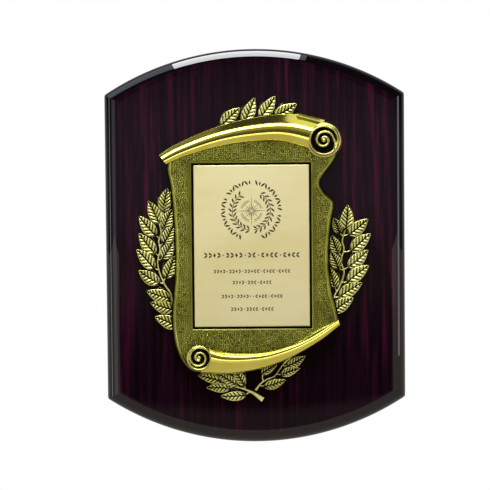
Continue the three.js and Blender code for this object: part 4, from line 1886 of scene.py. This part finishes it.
def upper_roll() -> ScrollRoll:
    """The upper roll, which thickens to the right.

    Returns:
        The roll.
    """
    return ScrollRoll(
        "upper_roll",
        "upper_scroll_roll",
        [
            spot(-1, -27.5, 1, 8.8), spot(-1, -15.2, 1, 16.3), spot(-0.57, 0, 1, 30.9),
            spot(0.2, 0, 1, 38.8), spot(0.8, 0, 1, 40.1), spot(1, 13, 1, 35.5),
        ],
        [
            spot(-1, -21.5, 1, 1), spot(-1, -7.5, 1, 6.7), spot(-0.5, 0, 1, 14.9),
            spot(0.05, 0, 1, 18), spot(0.5, 0, 1, 18), spot(1, 3, 1, 11),
        ],
        Volute(
            spot(1, 11.9, 1, 19.3), radius=12.6, height=13.4, foot_radius=15.4,
            start=-62, inner_start=8.6, turns=1.55, closed_ring=True,
        ),
        profile=(
            (0, 7.4), (0.04, 4.9), (0.11, 3.0), (0.2, 1.6), (0.3, 0.55), (0.38, 0.14), (0.49, 0),
            (0.56, 0.22), (0.62, 0.85), (0.7, 2.2), (0.8, 4.5), (0.9, 6.9), (1, 9.2),
        ),
        extras=[
            np.array((
                spot(0.8, 0, 1, 41), spot(0.83, 0, 1, 38.4), spot(1, 8.9, 1, 33.6), spot(1, 9.2, 1, 36.5),
            ))
        ],
    )


def lower_roll() -> ScrollRoll:
    """The lower roll, which thickens to the left.

    Returns:
        The roll.
    """
    return ScrollRoll(
        "lower_roll",
        "lower_scroll_roll",
        [
            spot(-1, 4, -1, -38), spot(-0.42, 0, -1, -38.4), spot(0.14, 0, -1, -34.3),
            spot(0.62, 0, -1, -26.3), spot(1, 8, -1, -12), spot(1, 24, -1, 0.5),
        ],
        [
            spot(-1, 8, -1, -14.6), spot(-0.53, 0, -1, -19.6), spot(0.14, 0, -1, -20.9),
            spot(0.5, 0, -1, -17.6), spot(1, -3.5, -1, -10.8), spot(1, 22.6, -1, 4.8),
        ],
        Volute(
            spot(-1, 3.2, -1, -24.4), radius=10.6, height=13.0, foot_radius=10.6,
            start=0, inner_start=9.4, turns=1.75, closed_ring=True,
        ),
        profile=(
            (0, 5.2), (0.04, 3.0), (0.09, 1.7), (0.14, 0.8), (0.19, 0.3), (0.25, 0.06), (0.3, 0),
            (0.42, 0.35), (0.56, 1.0), (0.7, 1.9), (0.84, 3.2), (0.94, 5.2), (1, 8.0),
        ),
        full_chord=20.0,
        thick_top=12.8,
    )


# ---------------------------------------------------------------- plate


@dataclass
class EngravedPlate:
    """The satin plate with its bright bevel, and the ornament engraved in it."""

    bevel: float = 0.6
    corner: float = 0.4
    stroke_depth: float = 0.03

    def build(self) -> None:
        """Builds and dresses the plate and its ornament."""
        seat = casting_seat()
        back, front = back_and_front("engraved_plate", seat)
        levels = [(0.0, back), (0.0, front - self.bevel)]
        for turn in np.linspace(0, math.pi / 2, 6):
            drop = self.bevel * (1 - math.sin(turn))
            levels.append((self.bevel * (1 - math.cos(turn)), front - drop))
        levels.append((self.bevel + 0.3, front))
        rings = []
        for inset, z in levels:
            flat = rounded_box(PLATE_WIDTH - 2 * inset, PLATE_HEIGHT - 2 * inset, self.corner)
            rings.append(raised(flat, z))
        shell = Shell()
        shell.add(lofted(np.stack(rings)))
        plate = shell.build("gold_plate", seat, 70.0)
        plate.data.materials.append(SATIN.material())
        deliver(plate, Slot.SATIN_GOLD, "engraved_plate")
        ornament = Ornament(front + 0.004, front + self.stroke_depth)
        ornament.draw()
        piece = ornament.shell.build("plate_ornament", seat, 30.0)
        piece.data.materials.append(ETCHING.material())
        deliver(piece, None)


@dataclass
class Ornament:
    """Engraved strokes: a ring of leaves round a star, and five garlands."""

    low: float
    high: float
    shell: Shell = field(default_factory=Shell)
    ring_centre: tuple[float, float] = (0.0, 28.0)
    ring_inner: float = 20.4
    ring_outer: float = 25.0
    ring_gap: float = 24.0
    ring_count: int = 46
    ring_rests: tuple[int, ...] = (9, 22, 31)
    rays: tuple[float, ...] = (13.5, 6.0, 9.5, 6.0)
    hip: float = 2.4
    twig: float = 15.2
    garlands: tuple[tuple[float, float, float], ...] = (
        (-7.3, 77, 4.4), (-20.2, 61.5, 3.2), (-29.1, 31.5, 3.2), (-40.2, 49, 3.2), (-50.5, 34.5, 3.2),
    )

    def stroke(self, outline: Sequence[Sequence[float]]) -> None:
        """Adds one filled mark."""
        self.shell.add(upright(np.asarray(outline, float), self.low, self.high))

    def diamond(self, x: float, y: float, width: float, height: float, turn: float = 0.0) -> None:
        """A small lozenge."""
        self.turned(x, y, turn, [(-width / 2, 0), (0, -height / 2), (width / 2, 0), (0, height / 2)])

    def turned(self, x: float, y: float, turn: float, points: Sequence[tuple[float, float]]) -> None:
        """A mark turned about its own place."""
        c, s = math.cos(turn), math.sin(turn)
        self.stroke([(x + px * c - py * s, y + px * s + py * c) for px, py in points])

    def arc(self, radius: float, width: float, first: float, last: float, steps: int = 48) -> None:
        """A stretch of a ring, between two angles in degrees.

        Args:
            radius: Of its middle line.
            width: Of the stroke.
            first: The angle it starts at.
            last: The angle it ends at.
            steps: Points along it.
        """
        turn = np.radians(np.linspace(first, last, steps))
        way = np.column_stack((np.cos(turn), np.sin(turn)))
        outer = self.ring_centre + (radius + width / 2) * way
        inner = self.ring_centre + (radius - width / 2) * way
        self.stroke(np.vstack((outer, inner[::-1])))

    def draw(self) -> None:
        """Draws the whole ornament."""
        self.ring_of_marks()
        self.star()
        for y, width, height in self.garlands:
            self.garland(y, width, height)

    def leaflet(self, x: float, y: float, width: float, height: float, turn: float) -> None:
        """A small leaf, pointed at both ends.

        Args:
            x: Its middle, across.
            y: Its middle, up.
            width: Its width.
            height: Its length.
            turn: Its turn in radians.
        """
        swell = np.array((0.0, 0.55, 0.9, 1.0, 0.9, 0.55)) * width / 2
        rise = np.array((-0.5, -0.36, -0.14, 0.0, 0.14, 0.36)) * height
        right = [(float(w), float(h)) for w, h in zip(swell, rise)]
        left = [(-w, h) for w, h in reversed(right[1:])]
        self.turned(x, y, turn, [*right, (0.0, height / 2), *left])

    def ring_of_marks(self) -> None:
        """Leaf pairs and lozenges that stand round the star, with a gap below."""
        cx, cy = self.ring_centre
        reach = (self.ring_inner + self.ring_outer) / 2
        tall = self.ring_outer - self.ring_inner
        for i in range(self.ring_count):
            if i in self.ring_rests:
                continue
            turn = math.radians(-90 + self.ring_gap + (360 - 2 * self.ring_gap) * i / (self.ring_count - 1))
            x, y = cx + reach * math.cos(turn), cy + reach * math.sin(turn)
            out = turn - math.pi / 2
            if i % 3 == 0:
                self.leaflet(x, y, 1.5, tall, out + 0.5)
            elif i % 3 == 1:
                self.leaflet(x, y, 1.5, tall, out - 0.5)
            else:
                self.diamond(x, y, 1.6, tall * 0.8, out)

    def star(self) -> None:
        """A pointed star in two thin rings, between two sprigs."""
        cx, cy = self.ring_centre
        for k in range(16):
            turn = k * math.pi / 8
            reach = self.rays[k % 4]
            side = turn + math.pi / 16
            back = turn - math.pi / 16
            tip = (cx + reach * math.cos(turn), cy + reach * math.sin(turn))
            hip = (cx + self.hip * math.cos(side), cy + self.hip * math.sin(side))
            heart = (cx + 0.5 * math.cos(turn), cy + 0.5 * math.sin(turn))
            self.stroke([heart, tip, hip])
            if k % 4 == 0:
                other = (cx + self.hip * math.cos(back), cy + self.hip * math.sin(back))
                mid = (cx + self.hip / 2 * math.cos(back), cy + self.hip / 2 * math.sin(back))
                far = (cx + reach * 0.93 * math.cos(turn), cy + reach * 0.93 * math.sin(turn))
                self.stroke([mid, other, far])
        for quarter in range(4):
            self.arc(7.6, 0.45, 90 * quarter + 14, 90 * quarter + 76)
            self.arc(8.8, 0.25, 90 * quarter + 12, 90 * quarter + 78)
        for side in (-1, 1):
            self.sprig(side)

    def sprig(self, side: int) -> None:
        """A curved twig with leaves in pairs, to one side of the star.

        Args:
            side: 1 for the right one, -1 for the left one.
        """
        cx, cy = self.ring_centre
        first, last = (-84, 58) if side > 0 else (122, 264)
        self.arc(self.twig, 0.5, first, last, 60)
        for k in range(11):
            turn = math.radians(-90 + side * (12 + 13.4 * k))
            for reach, lean in ((self.twig + 1.8, 0.75), (self.twig - 1.8, -0.75)):
                x, y = cx + reach * math.cos(turn), cy + reach * math.sin(turn)
                self.leaflet(x, y, 1.35, 4.2, turn + lean)

    def garland(self, y: float, width: float, height: float) -> None:
        """A garland that grows outwards from its middle, with lozenges and dots in it.

        Args:
            y: The line's place up.
            width: Its whole width.
            height: The height of its marks.
        """
        count = max(round(width / (height * 0.78)), 5)
        step = width / count
        for i in range(count):
            x = -width / 2 + (i + 0.5) * step
            side = 1 if x > 0 else -1
            order = min(i, count - 1 - i) % 5
            if order == 4:
                self.diamond(x, y, height * 0.3, height * 0.3)
            elif order == 2:
                self.diamond(x, y, step * 0.6, height * 0.85)
            else:
                for end in (-1, 1):
                    lean = -end * side * 0.95
                    self.leaflet(x, y + end * height * 0.24, step * 0.4, height * 0.72, lean)


# ---------------------------------------------------------------- hardware


@dataclass
class Fastener:
    """A screw with a cross recess, in the place of a CAD screw."""

    node: str
    head_radius: float
    head_height: float
    shank_radius: float
    flat_head: bool
    pitch: float = 0.7
    thread_depth: float = 0.3
    point: float = 1.2

    def profile(self, low: float, high: float) -> list[tuple[float, float]]:
        """Its outline from the head's face to its point.

        Args:
            low: Height of the face.
            high: Height of the point.

        Returns:
            Radius and height of each corner.
        """
        tip, under = high - self.point, low + self.head_height
        head, shank = self.head_radius, self.shank_radius
        if self.flat_head:
            face = [(head * 0.5, low), (head - 0.1, low), (head, low + 0.15)]
            neck = [(shank, under)]
        else:
            dome = np.linspace(0, math.pi / 2, 8)[1:]
            face = [(head * math.sin(t), low + self.head_height * 0.45 * (1 - math.cos(t))) for t in dome]
            neck = [(head, under), (shank, under)]
        thread = []
        z = under + 0.4
        while z < tip - self.pitch:
            thread += [(shank - self.thread_depth, z), (shank, z + self.pitch * 0.35)]
            z += self.pitch
        return [*face, *neck, *thread, (shank - 0.35, tip), (0.25, high)]

    def build(self) -> None:
        """Builds, recesses and dresses the screw."""
        seat = board_seat()
        x, y = across_and_up(self.node, seat)
        back, front = back_and_front(self.node, seat)
        shell = Shell()
        shell.add(revolved(self.profile(back, front), x, y, 48))
        piece = shell.build(f"{self.node}_turned", seat, 35.0)
        for width, height in ((1.1, 0.28), (0.28, 1.1)):
            cutter = Shell()
            rings = []
            for z, share in ((back - 0.5, 1.1), (back + self.head_height * 0.75, 0.55)):
                outline = rounded_box(
                    self.head_radius * width * share, self.head_radius * height * share, 0.05, x, y
                )
                rings.append(raised(outline, z))
            cutter.add(lofted(np.stack(rings)))
            carve(piece, cutter.build("recess", seat), 35.0)
        piece.data.materials.clear()
        piece.data.materials.append(STEEL.material())
        deliver(piece, Slot.ZINC_STEEL, self.node)


@dataclass
class Washer:
    """A flat washer with softened edges."""

    node: str
    hole: float = 2.3
    soft: float = 0.15

    def build(self) -> None:
        """Builds and dresses the washer."""
        seat = board_seat()
        x, y = across_and_up(self.node, seat)
        back, front = back_and_front(self.node, seat)
        radius = extent(self.node)[0] / 2
        profile = [
            (self.hole, back + self.soft), (self.hole + self.soft, back), (radius - self.soft, back),
            (radius, back + self.soft), (radius, front - self.soft), (radius - self.soft, front),
            (self.hole + self.soft, front), (self.hole, front - self.soft),
        ]
        facets = 64
        points, _ = revolved(profile, x, y, facets)
        faces = wrap_quads(len(profile) + 1, facets)
        closed = [tuple(index % len(points) for index in face) for face in faces]
        shell = Shell()
        shell.add((points, closed))
        piece = shell.build(f"{self.node}_pressed", seat, 35.0)
        piece.data.materials.append(STEEL.material())
        deliver(piece, Slot.ZINC_STEEL, self.node)


@dataclass
class Hanger:
    """The steel strip with its keyhole."""

    end_radius: float = 5.0
    entry_radius: float = 4.8
    entry_below: float = 3.0
    slot_width: float = 5.0
    slot_rise: float = 9.0
    soft: float = 0.25
    screw_hole: float = 1.9
    screw_sink: float = 3.3

    def build(self) -> None:
        """Builds, pierces and dresses the hanger."""
        seat = board_seat()
        x, y = across_and_up("hanger_plate", seat)
        back, front = back_and_front("hanger_plate", seat)
        width, height, _ = extent("hanger_plate")
        soft = self.soft
        rings = []
        for inset, z in ((soft, back), (0.0, back + soft), (0.0, front - soft), (soft, front)):
            flat = rounded_box(width - 2 * inset, height - 2 * inset, self.end_radius - inset, x, y)
            rings.append(raised(flat, z))
        shell = Shell()
        shell.add(lofted(np.stack(rings)))
        piece = shell.build("keyhole_hanger", seat, 35.0)
        entry = y - self.entry_below
        cutter = Shell()
        cutter.add(revolved([(self.entry_radius, back - 1), (self.entry_radius, front + 1)], x, entry, 64))
        carve(piece, cutter.build("entry", seat), 35.0)
        slot_y = entry + (self.slot_rise - self.slot_width / 2) / 2
        tall = self.slot_rise + self.slot_width
        slot = rounded_box(self.slot_width, tall, self.slot_width / 2 - 0.01, x, slot_y)
        cutter = Shell()
        cutter.add(upright(slot, back - 1, front + 1))
        carve(piece, cutter.build("slot", seat), 35.0)
        cutter = Shell()
        sink, hole = self.screw_sink, self.screw_hole
        profile = [(sink, back - 1), (sink, back), (hole, front), (hole, front + 1)]
        for i in (1, 2):
            cutter.add(revolved(profile, *across_and_up(f"hanger_screw_{i}", seat), 48))
        carve(piece, cutter.build("holes", seat), 35.0)
        piece.data.materials.clear()
        piece.data.materials.append(STEEL.material())
        deliver(piece, Slot.ZINC_STEEL, "hanger_plate")


def build_hardware() -> None:
    """Builds everything that is let into the back, and dresses what stays hidden."""
    Hanger().build()
    for i in range(1, 5):
        Fastener(f"casting_screw_{i}", 4.0, 3.0, 2.0, flat_head=False).build()
        Washer(f"casting_washer_{i}").build()
    for i in (1, 2):
        Fastener(f"hanger_screw_{i}", 3.0, 1.4, 1.5, flat_head=True).build()
    for node, finish, slot in (
        ("plate_adhesive", FOAM, Slot.ADHESIVE),
        *((f"roll_screw_{i}", STEEL, Slot.ZINC_STEEL) for i in range(1, 5)),
    ):
        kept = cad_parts[node]
        kept.data.materials.clear()
        kept.data.materials.append(finish.material())


# ---------------------------------------------------------------- studio


LAUREL = ("laurel_left", "laurel_right")
ROLLS = ("upper_roll", "lower_roll")


@dataclass(frozen=True)
class Softbox:
    """An area light that shines on the plaque."""

    name: str
    place: tuple[float, float, float]
    width: float
    height: float
    radiance: float
    colour: tuple[float, float, float] = (1.0, 1.0, 1.0)
    only: tuple[str, ...] = ()
    spare: tuple[str, ...] = ()
    level: bool = False

    def build(self) -> None:
        """Hangs the light, turns it to the plaque and limits it to its own pieces."""
        lamp = bpy.data.lights.new(self.name, "AREA")
        lamp.shape = "RECTANGLE"
        lamp.size, lamp.size_y = self.width, self.height
        lamp.energy = self.radiance * math.pi * self.width * self.height
        lamp.color = self.colour
        holder = bpy.data.objects.new(self.name, lamp)
        holder.location = self.place
        if not self.level:
            holder.rotation_euler = Vector(self.place).to_track_quat("Z", "Y").to_euler()
        holder.visible_camera = False
        bpy.context.scene.collection.objects.link(holder)
        if self.only or self.spare:
            linked = bpy.data.collections.new(f"{self.name}_pieces")
            for name in (*self.only, *self.spare):
                linked.objects.link(bpy.data.objects[name])
            for member in linked.collection_objects:
                member.light_linking.link_state = "EXCLUDE" if self.spare else "INCLUDE"
            holder.light_linking.receiver_collection = linked


@dataclass
class Studio:
    """A white world with a dark front, soft lights, a pale floor and the camera."""

    floor_drop: float = 0.45
    distance: float = 1.3
    elevation: float = 2.6
    roll: float = 0.49
    lens: float = 118.1
    aim_x: float = -0.0084
    aim_z: float = 0.0010
    lights: tuple[Softbox, ...] = (
        Softbox("overhead", (-0.077, -0.24, 1.02), 0.57, 0.98, 13.0, spare=ROLLS, level=True),
        Softbox(
            "ceiling", (-0.55, -0.24, 1.08), 1.6, 0.98, 1.5, (0.88, 0.98, 1.1), ("lacquered_board",),
            level=True,
        ),
        Softbox("left_panel", (-0.95, -1.0, 0.15), 0.55, 1.1, 0.7, (1.0, 0.85, 1.0)),
        Softbox("left_strip", (-1.25, -0.35, 0.15), 0.07, 1.0, 5.0, (0.9, 0.9, 1.0)),
        Softbox("right_panel", (1.05, -0.58, 0.2), 0.28, 0.9, 2.4, (1.0, 0.9, 1.0)),
        Softbox(
            "relief_fill", (-0.5, -1.7, 0.9), 0.9, 0.6, 4.4, (1.0, 0.98, 0.92), (*LAUREL, "pebbled_panel"),
        ),
        Softbox("right_fill", (0.9, -1.3, 0.7), 0.6, 0.6, 3.4, (1.0, 0.99, 0.94), LAUREL),
        Softbox("low_fill", (0.1, -1.0, -0.75), 1.8, 0.9, 1.8, (1.0, 1.0, 0.9), (*LAUREL, *ROLLS)),
        Softbox("roll_key", (-0.15, -0.66, 0.86), 1.5, 0.62, 7.0, (1.0, 1.0, 0.96), ROLLS),
        Softbox("roll_top", (0.5, 0.1, 1.05), 1.4, 1.0, 0.9, (1.0, 1.0, 0.9), ROLLS),
        Softbox("roll_dim", (-0.9, 0.1, 1.05), 1.4, 1.2, 0.14, (1.0, 1.0, 0.8), ROLLS),
        Softbox("roll_front", (0.0, -1.5, 0.55), 2.4, 0.9, 0.3, (1.0, 1.0, 0.7), ROLLS),
        Softbox("plate_fill", (-0.1, -2.2, 0.4), 1.8, 1.2, 1.3, (1.0, 0.99, 0.95), ("gold_plate",)),
    )

    def build(self) -> None:
        """Builds the floor, the world, the lights and the camera."""
        self.floor()
        self.world()
        for light in self.lights:
            light.build()
        self.camera()
        bpy.context.scene.view_settings.view_transform = "Standard"
        bpy.context.scene.view_settings.look = "None"

    def floor(self) -> None:
        """A wide pale floor, well below the plaque."""
        half = 12.0
        z = CAD_BOX[0].z - self.floor_drop
        mesh = bpy.data.meshes.new("studio_floor")
        corners = [(-half, -half, z), (half, -half, z), (half, half, z), (-half, half, z)]
        mesh.from_pydata(corners, [], [(0, 1, 2, 3)])
        paper = bpy.data.materials.new("pale_floor")
        paper.use_nodes = True
        paper.node_tree.nodes.clear()
        w = Wiring(paper.node_tree)
        split = w.add("SeparateXYZ", {0: w.add("TexCoord").outputs["Object"]})
        curve = w.maths("MULTIPLY", w.maths("POWER", split.outputs["X"], 2.0), 1.6)
        far = w.maths("SUBTRACT", w.maths("ABSOLUTE", split.outputs["Y"]), curve)
        near = w.span(far, 0.9, 1.6, 0.44, 0.0)
        table = w.span(far, 3.1, 3.35, 0.13, 0.01)
        horizon = w.span(split.outputs["Y"], -9.0, -4.0, 0.1, 0.0)
        glow = w.maths("ADD", w.maths("ADD", near, table), horizon)
        pale = w.add("Emission", {"Color": (1.0, 0.9, 0.82, 1.0), "Strength": glow})
        bright = w.add("Emission", {"Color": (1.0, 1.0, 1.0, 1.0), "Strength": 1.0})
        seen = w.add("LightPath").outputs["Is Camera Ray"]
        mix = w.add("MixShader", {0: seen, 1: pale.outputs[0], 2: bright.outputs[0]})
        w.join(mix.outputs[0], w.add("OutputMaterial").inputs[0])
        mesh.materials.append(paper)
        floor = bpy.data.objects.new("studio_floor", mesh)
        bpy.context.scene.collection.objects.link(floor)

    def world(self) -> None:
        """White to the eye; around the plaque a bright back, a grey ceiling and a dark front."""
        sky = bpy.data.worlds.new("studio")
        bpy.context.scene.world = sky
        sky.use_nodes = True
        sky.node_tree.nodes.clear()
        w = Wiring(sky.node_tree)
        way = w.add("TexCoord").outputs["Generated"]
        split = w.add("SeparateXYZ", {0: way})
        behind = w.span(split.outputs["Y"], 0.0, 0.5, 0.0, 0.45)
        level = w.span(w.maths("ABSOLUTE", split.outputs["Z"]), 0.02, 0.09, 0.16, 0.0)
        light = w.maths("ADD", w.maths("ADD", behind, level), 0.02)
        around = w.add("Background", {"Color": (1.0, 0.86, 0.97, 1.0), "Strength": light})
        white = w.add("Background", {"Color": (1.0, 1.0, 1.0, 1.0), "Strength": 1.0})
        seen = w.add("LightPath").outputs["Is Camera Ray"]
        mix = w.add("MixShader", {0: seen, 1: around.outputs[0], 2: white.outputs[0]})
        w.join(mix.outputs[0], w.add("OutputWorld").inputs[0])

    def camera(self) -> None:
        """The camera, slightly above the plaque's middle."""
        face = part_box("backing_board")[0].y / 2
        aim = Vector((self.aim_x, face, self.aim_z))
        rise = math.radians(self.elevation)
        back = Vector((0.0, -math.cos(rise), math.sin(rise)))
        data = bpy.data.cameras.new("camera")
        data.lens = self.lens
        data.sensor_width = 36.0
        camera = bpy.data.objects.new("camera", data)
        camera.rotation_mode = "QUATERNION"
        camera.location = aim + back * self.distance
        turn = (-back).to_track_quat("-Z", "Y")
        camera.rotation_quaternion = turn @ Quaternion((0.0, 0.0, 1.0), -math.radians(self.roll))
        bpy.context.scene.collection.objects.link(camera)
        bpy.context.scene.camera = camera


def main() -> None:
    """Builds the plaque and its studio in order."""
    logging.basicConfig(level=logging.INFO, format="%(message)s")
    BackingBoard().build()
    laurel = branches()
    for branch in laurel:
        branch.build()
    ScrollPanel().build(laurel)
    upper_roll().build()
    lower_roll().build()
    EngravedPlate().build()
    build_hardware()
    Studio().build()


if __name__ == "__main__":
    main()
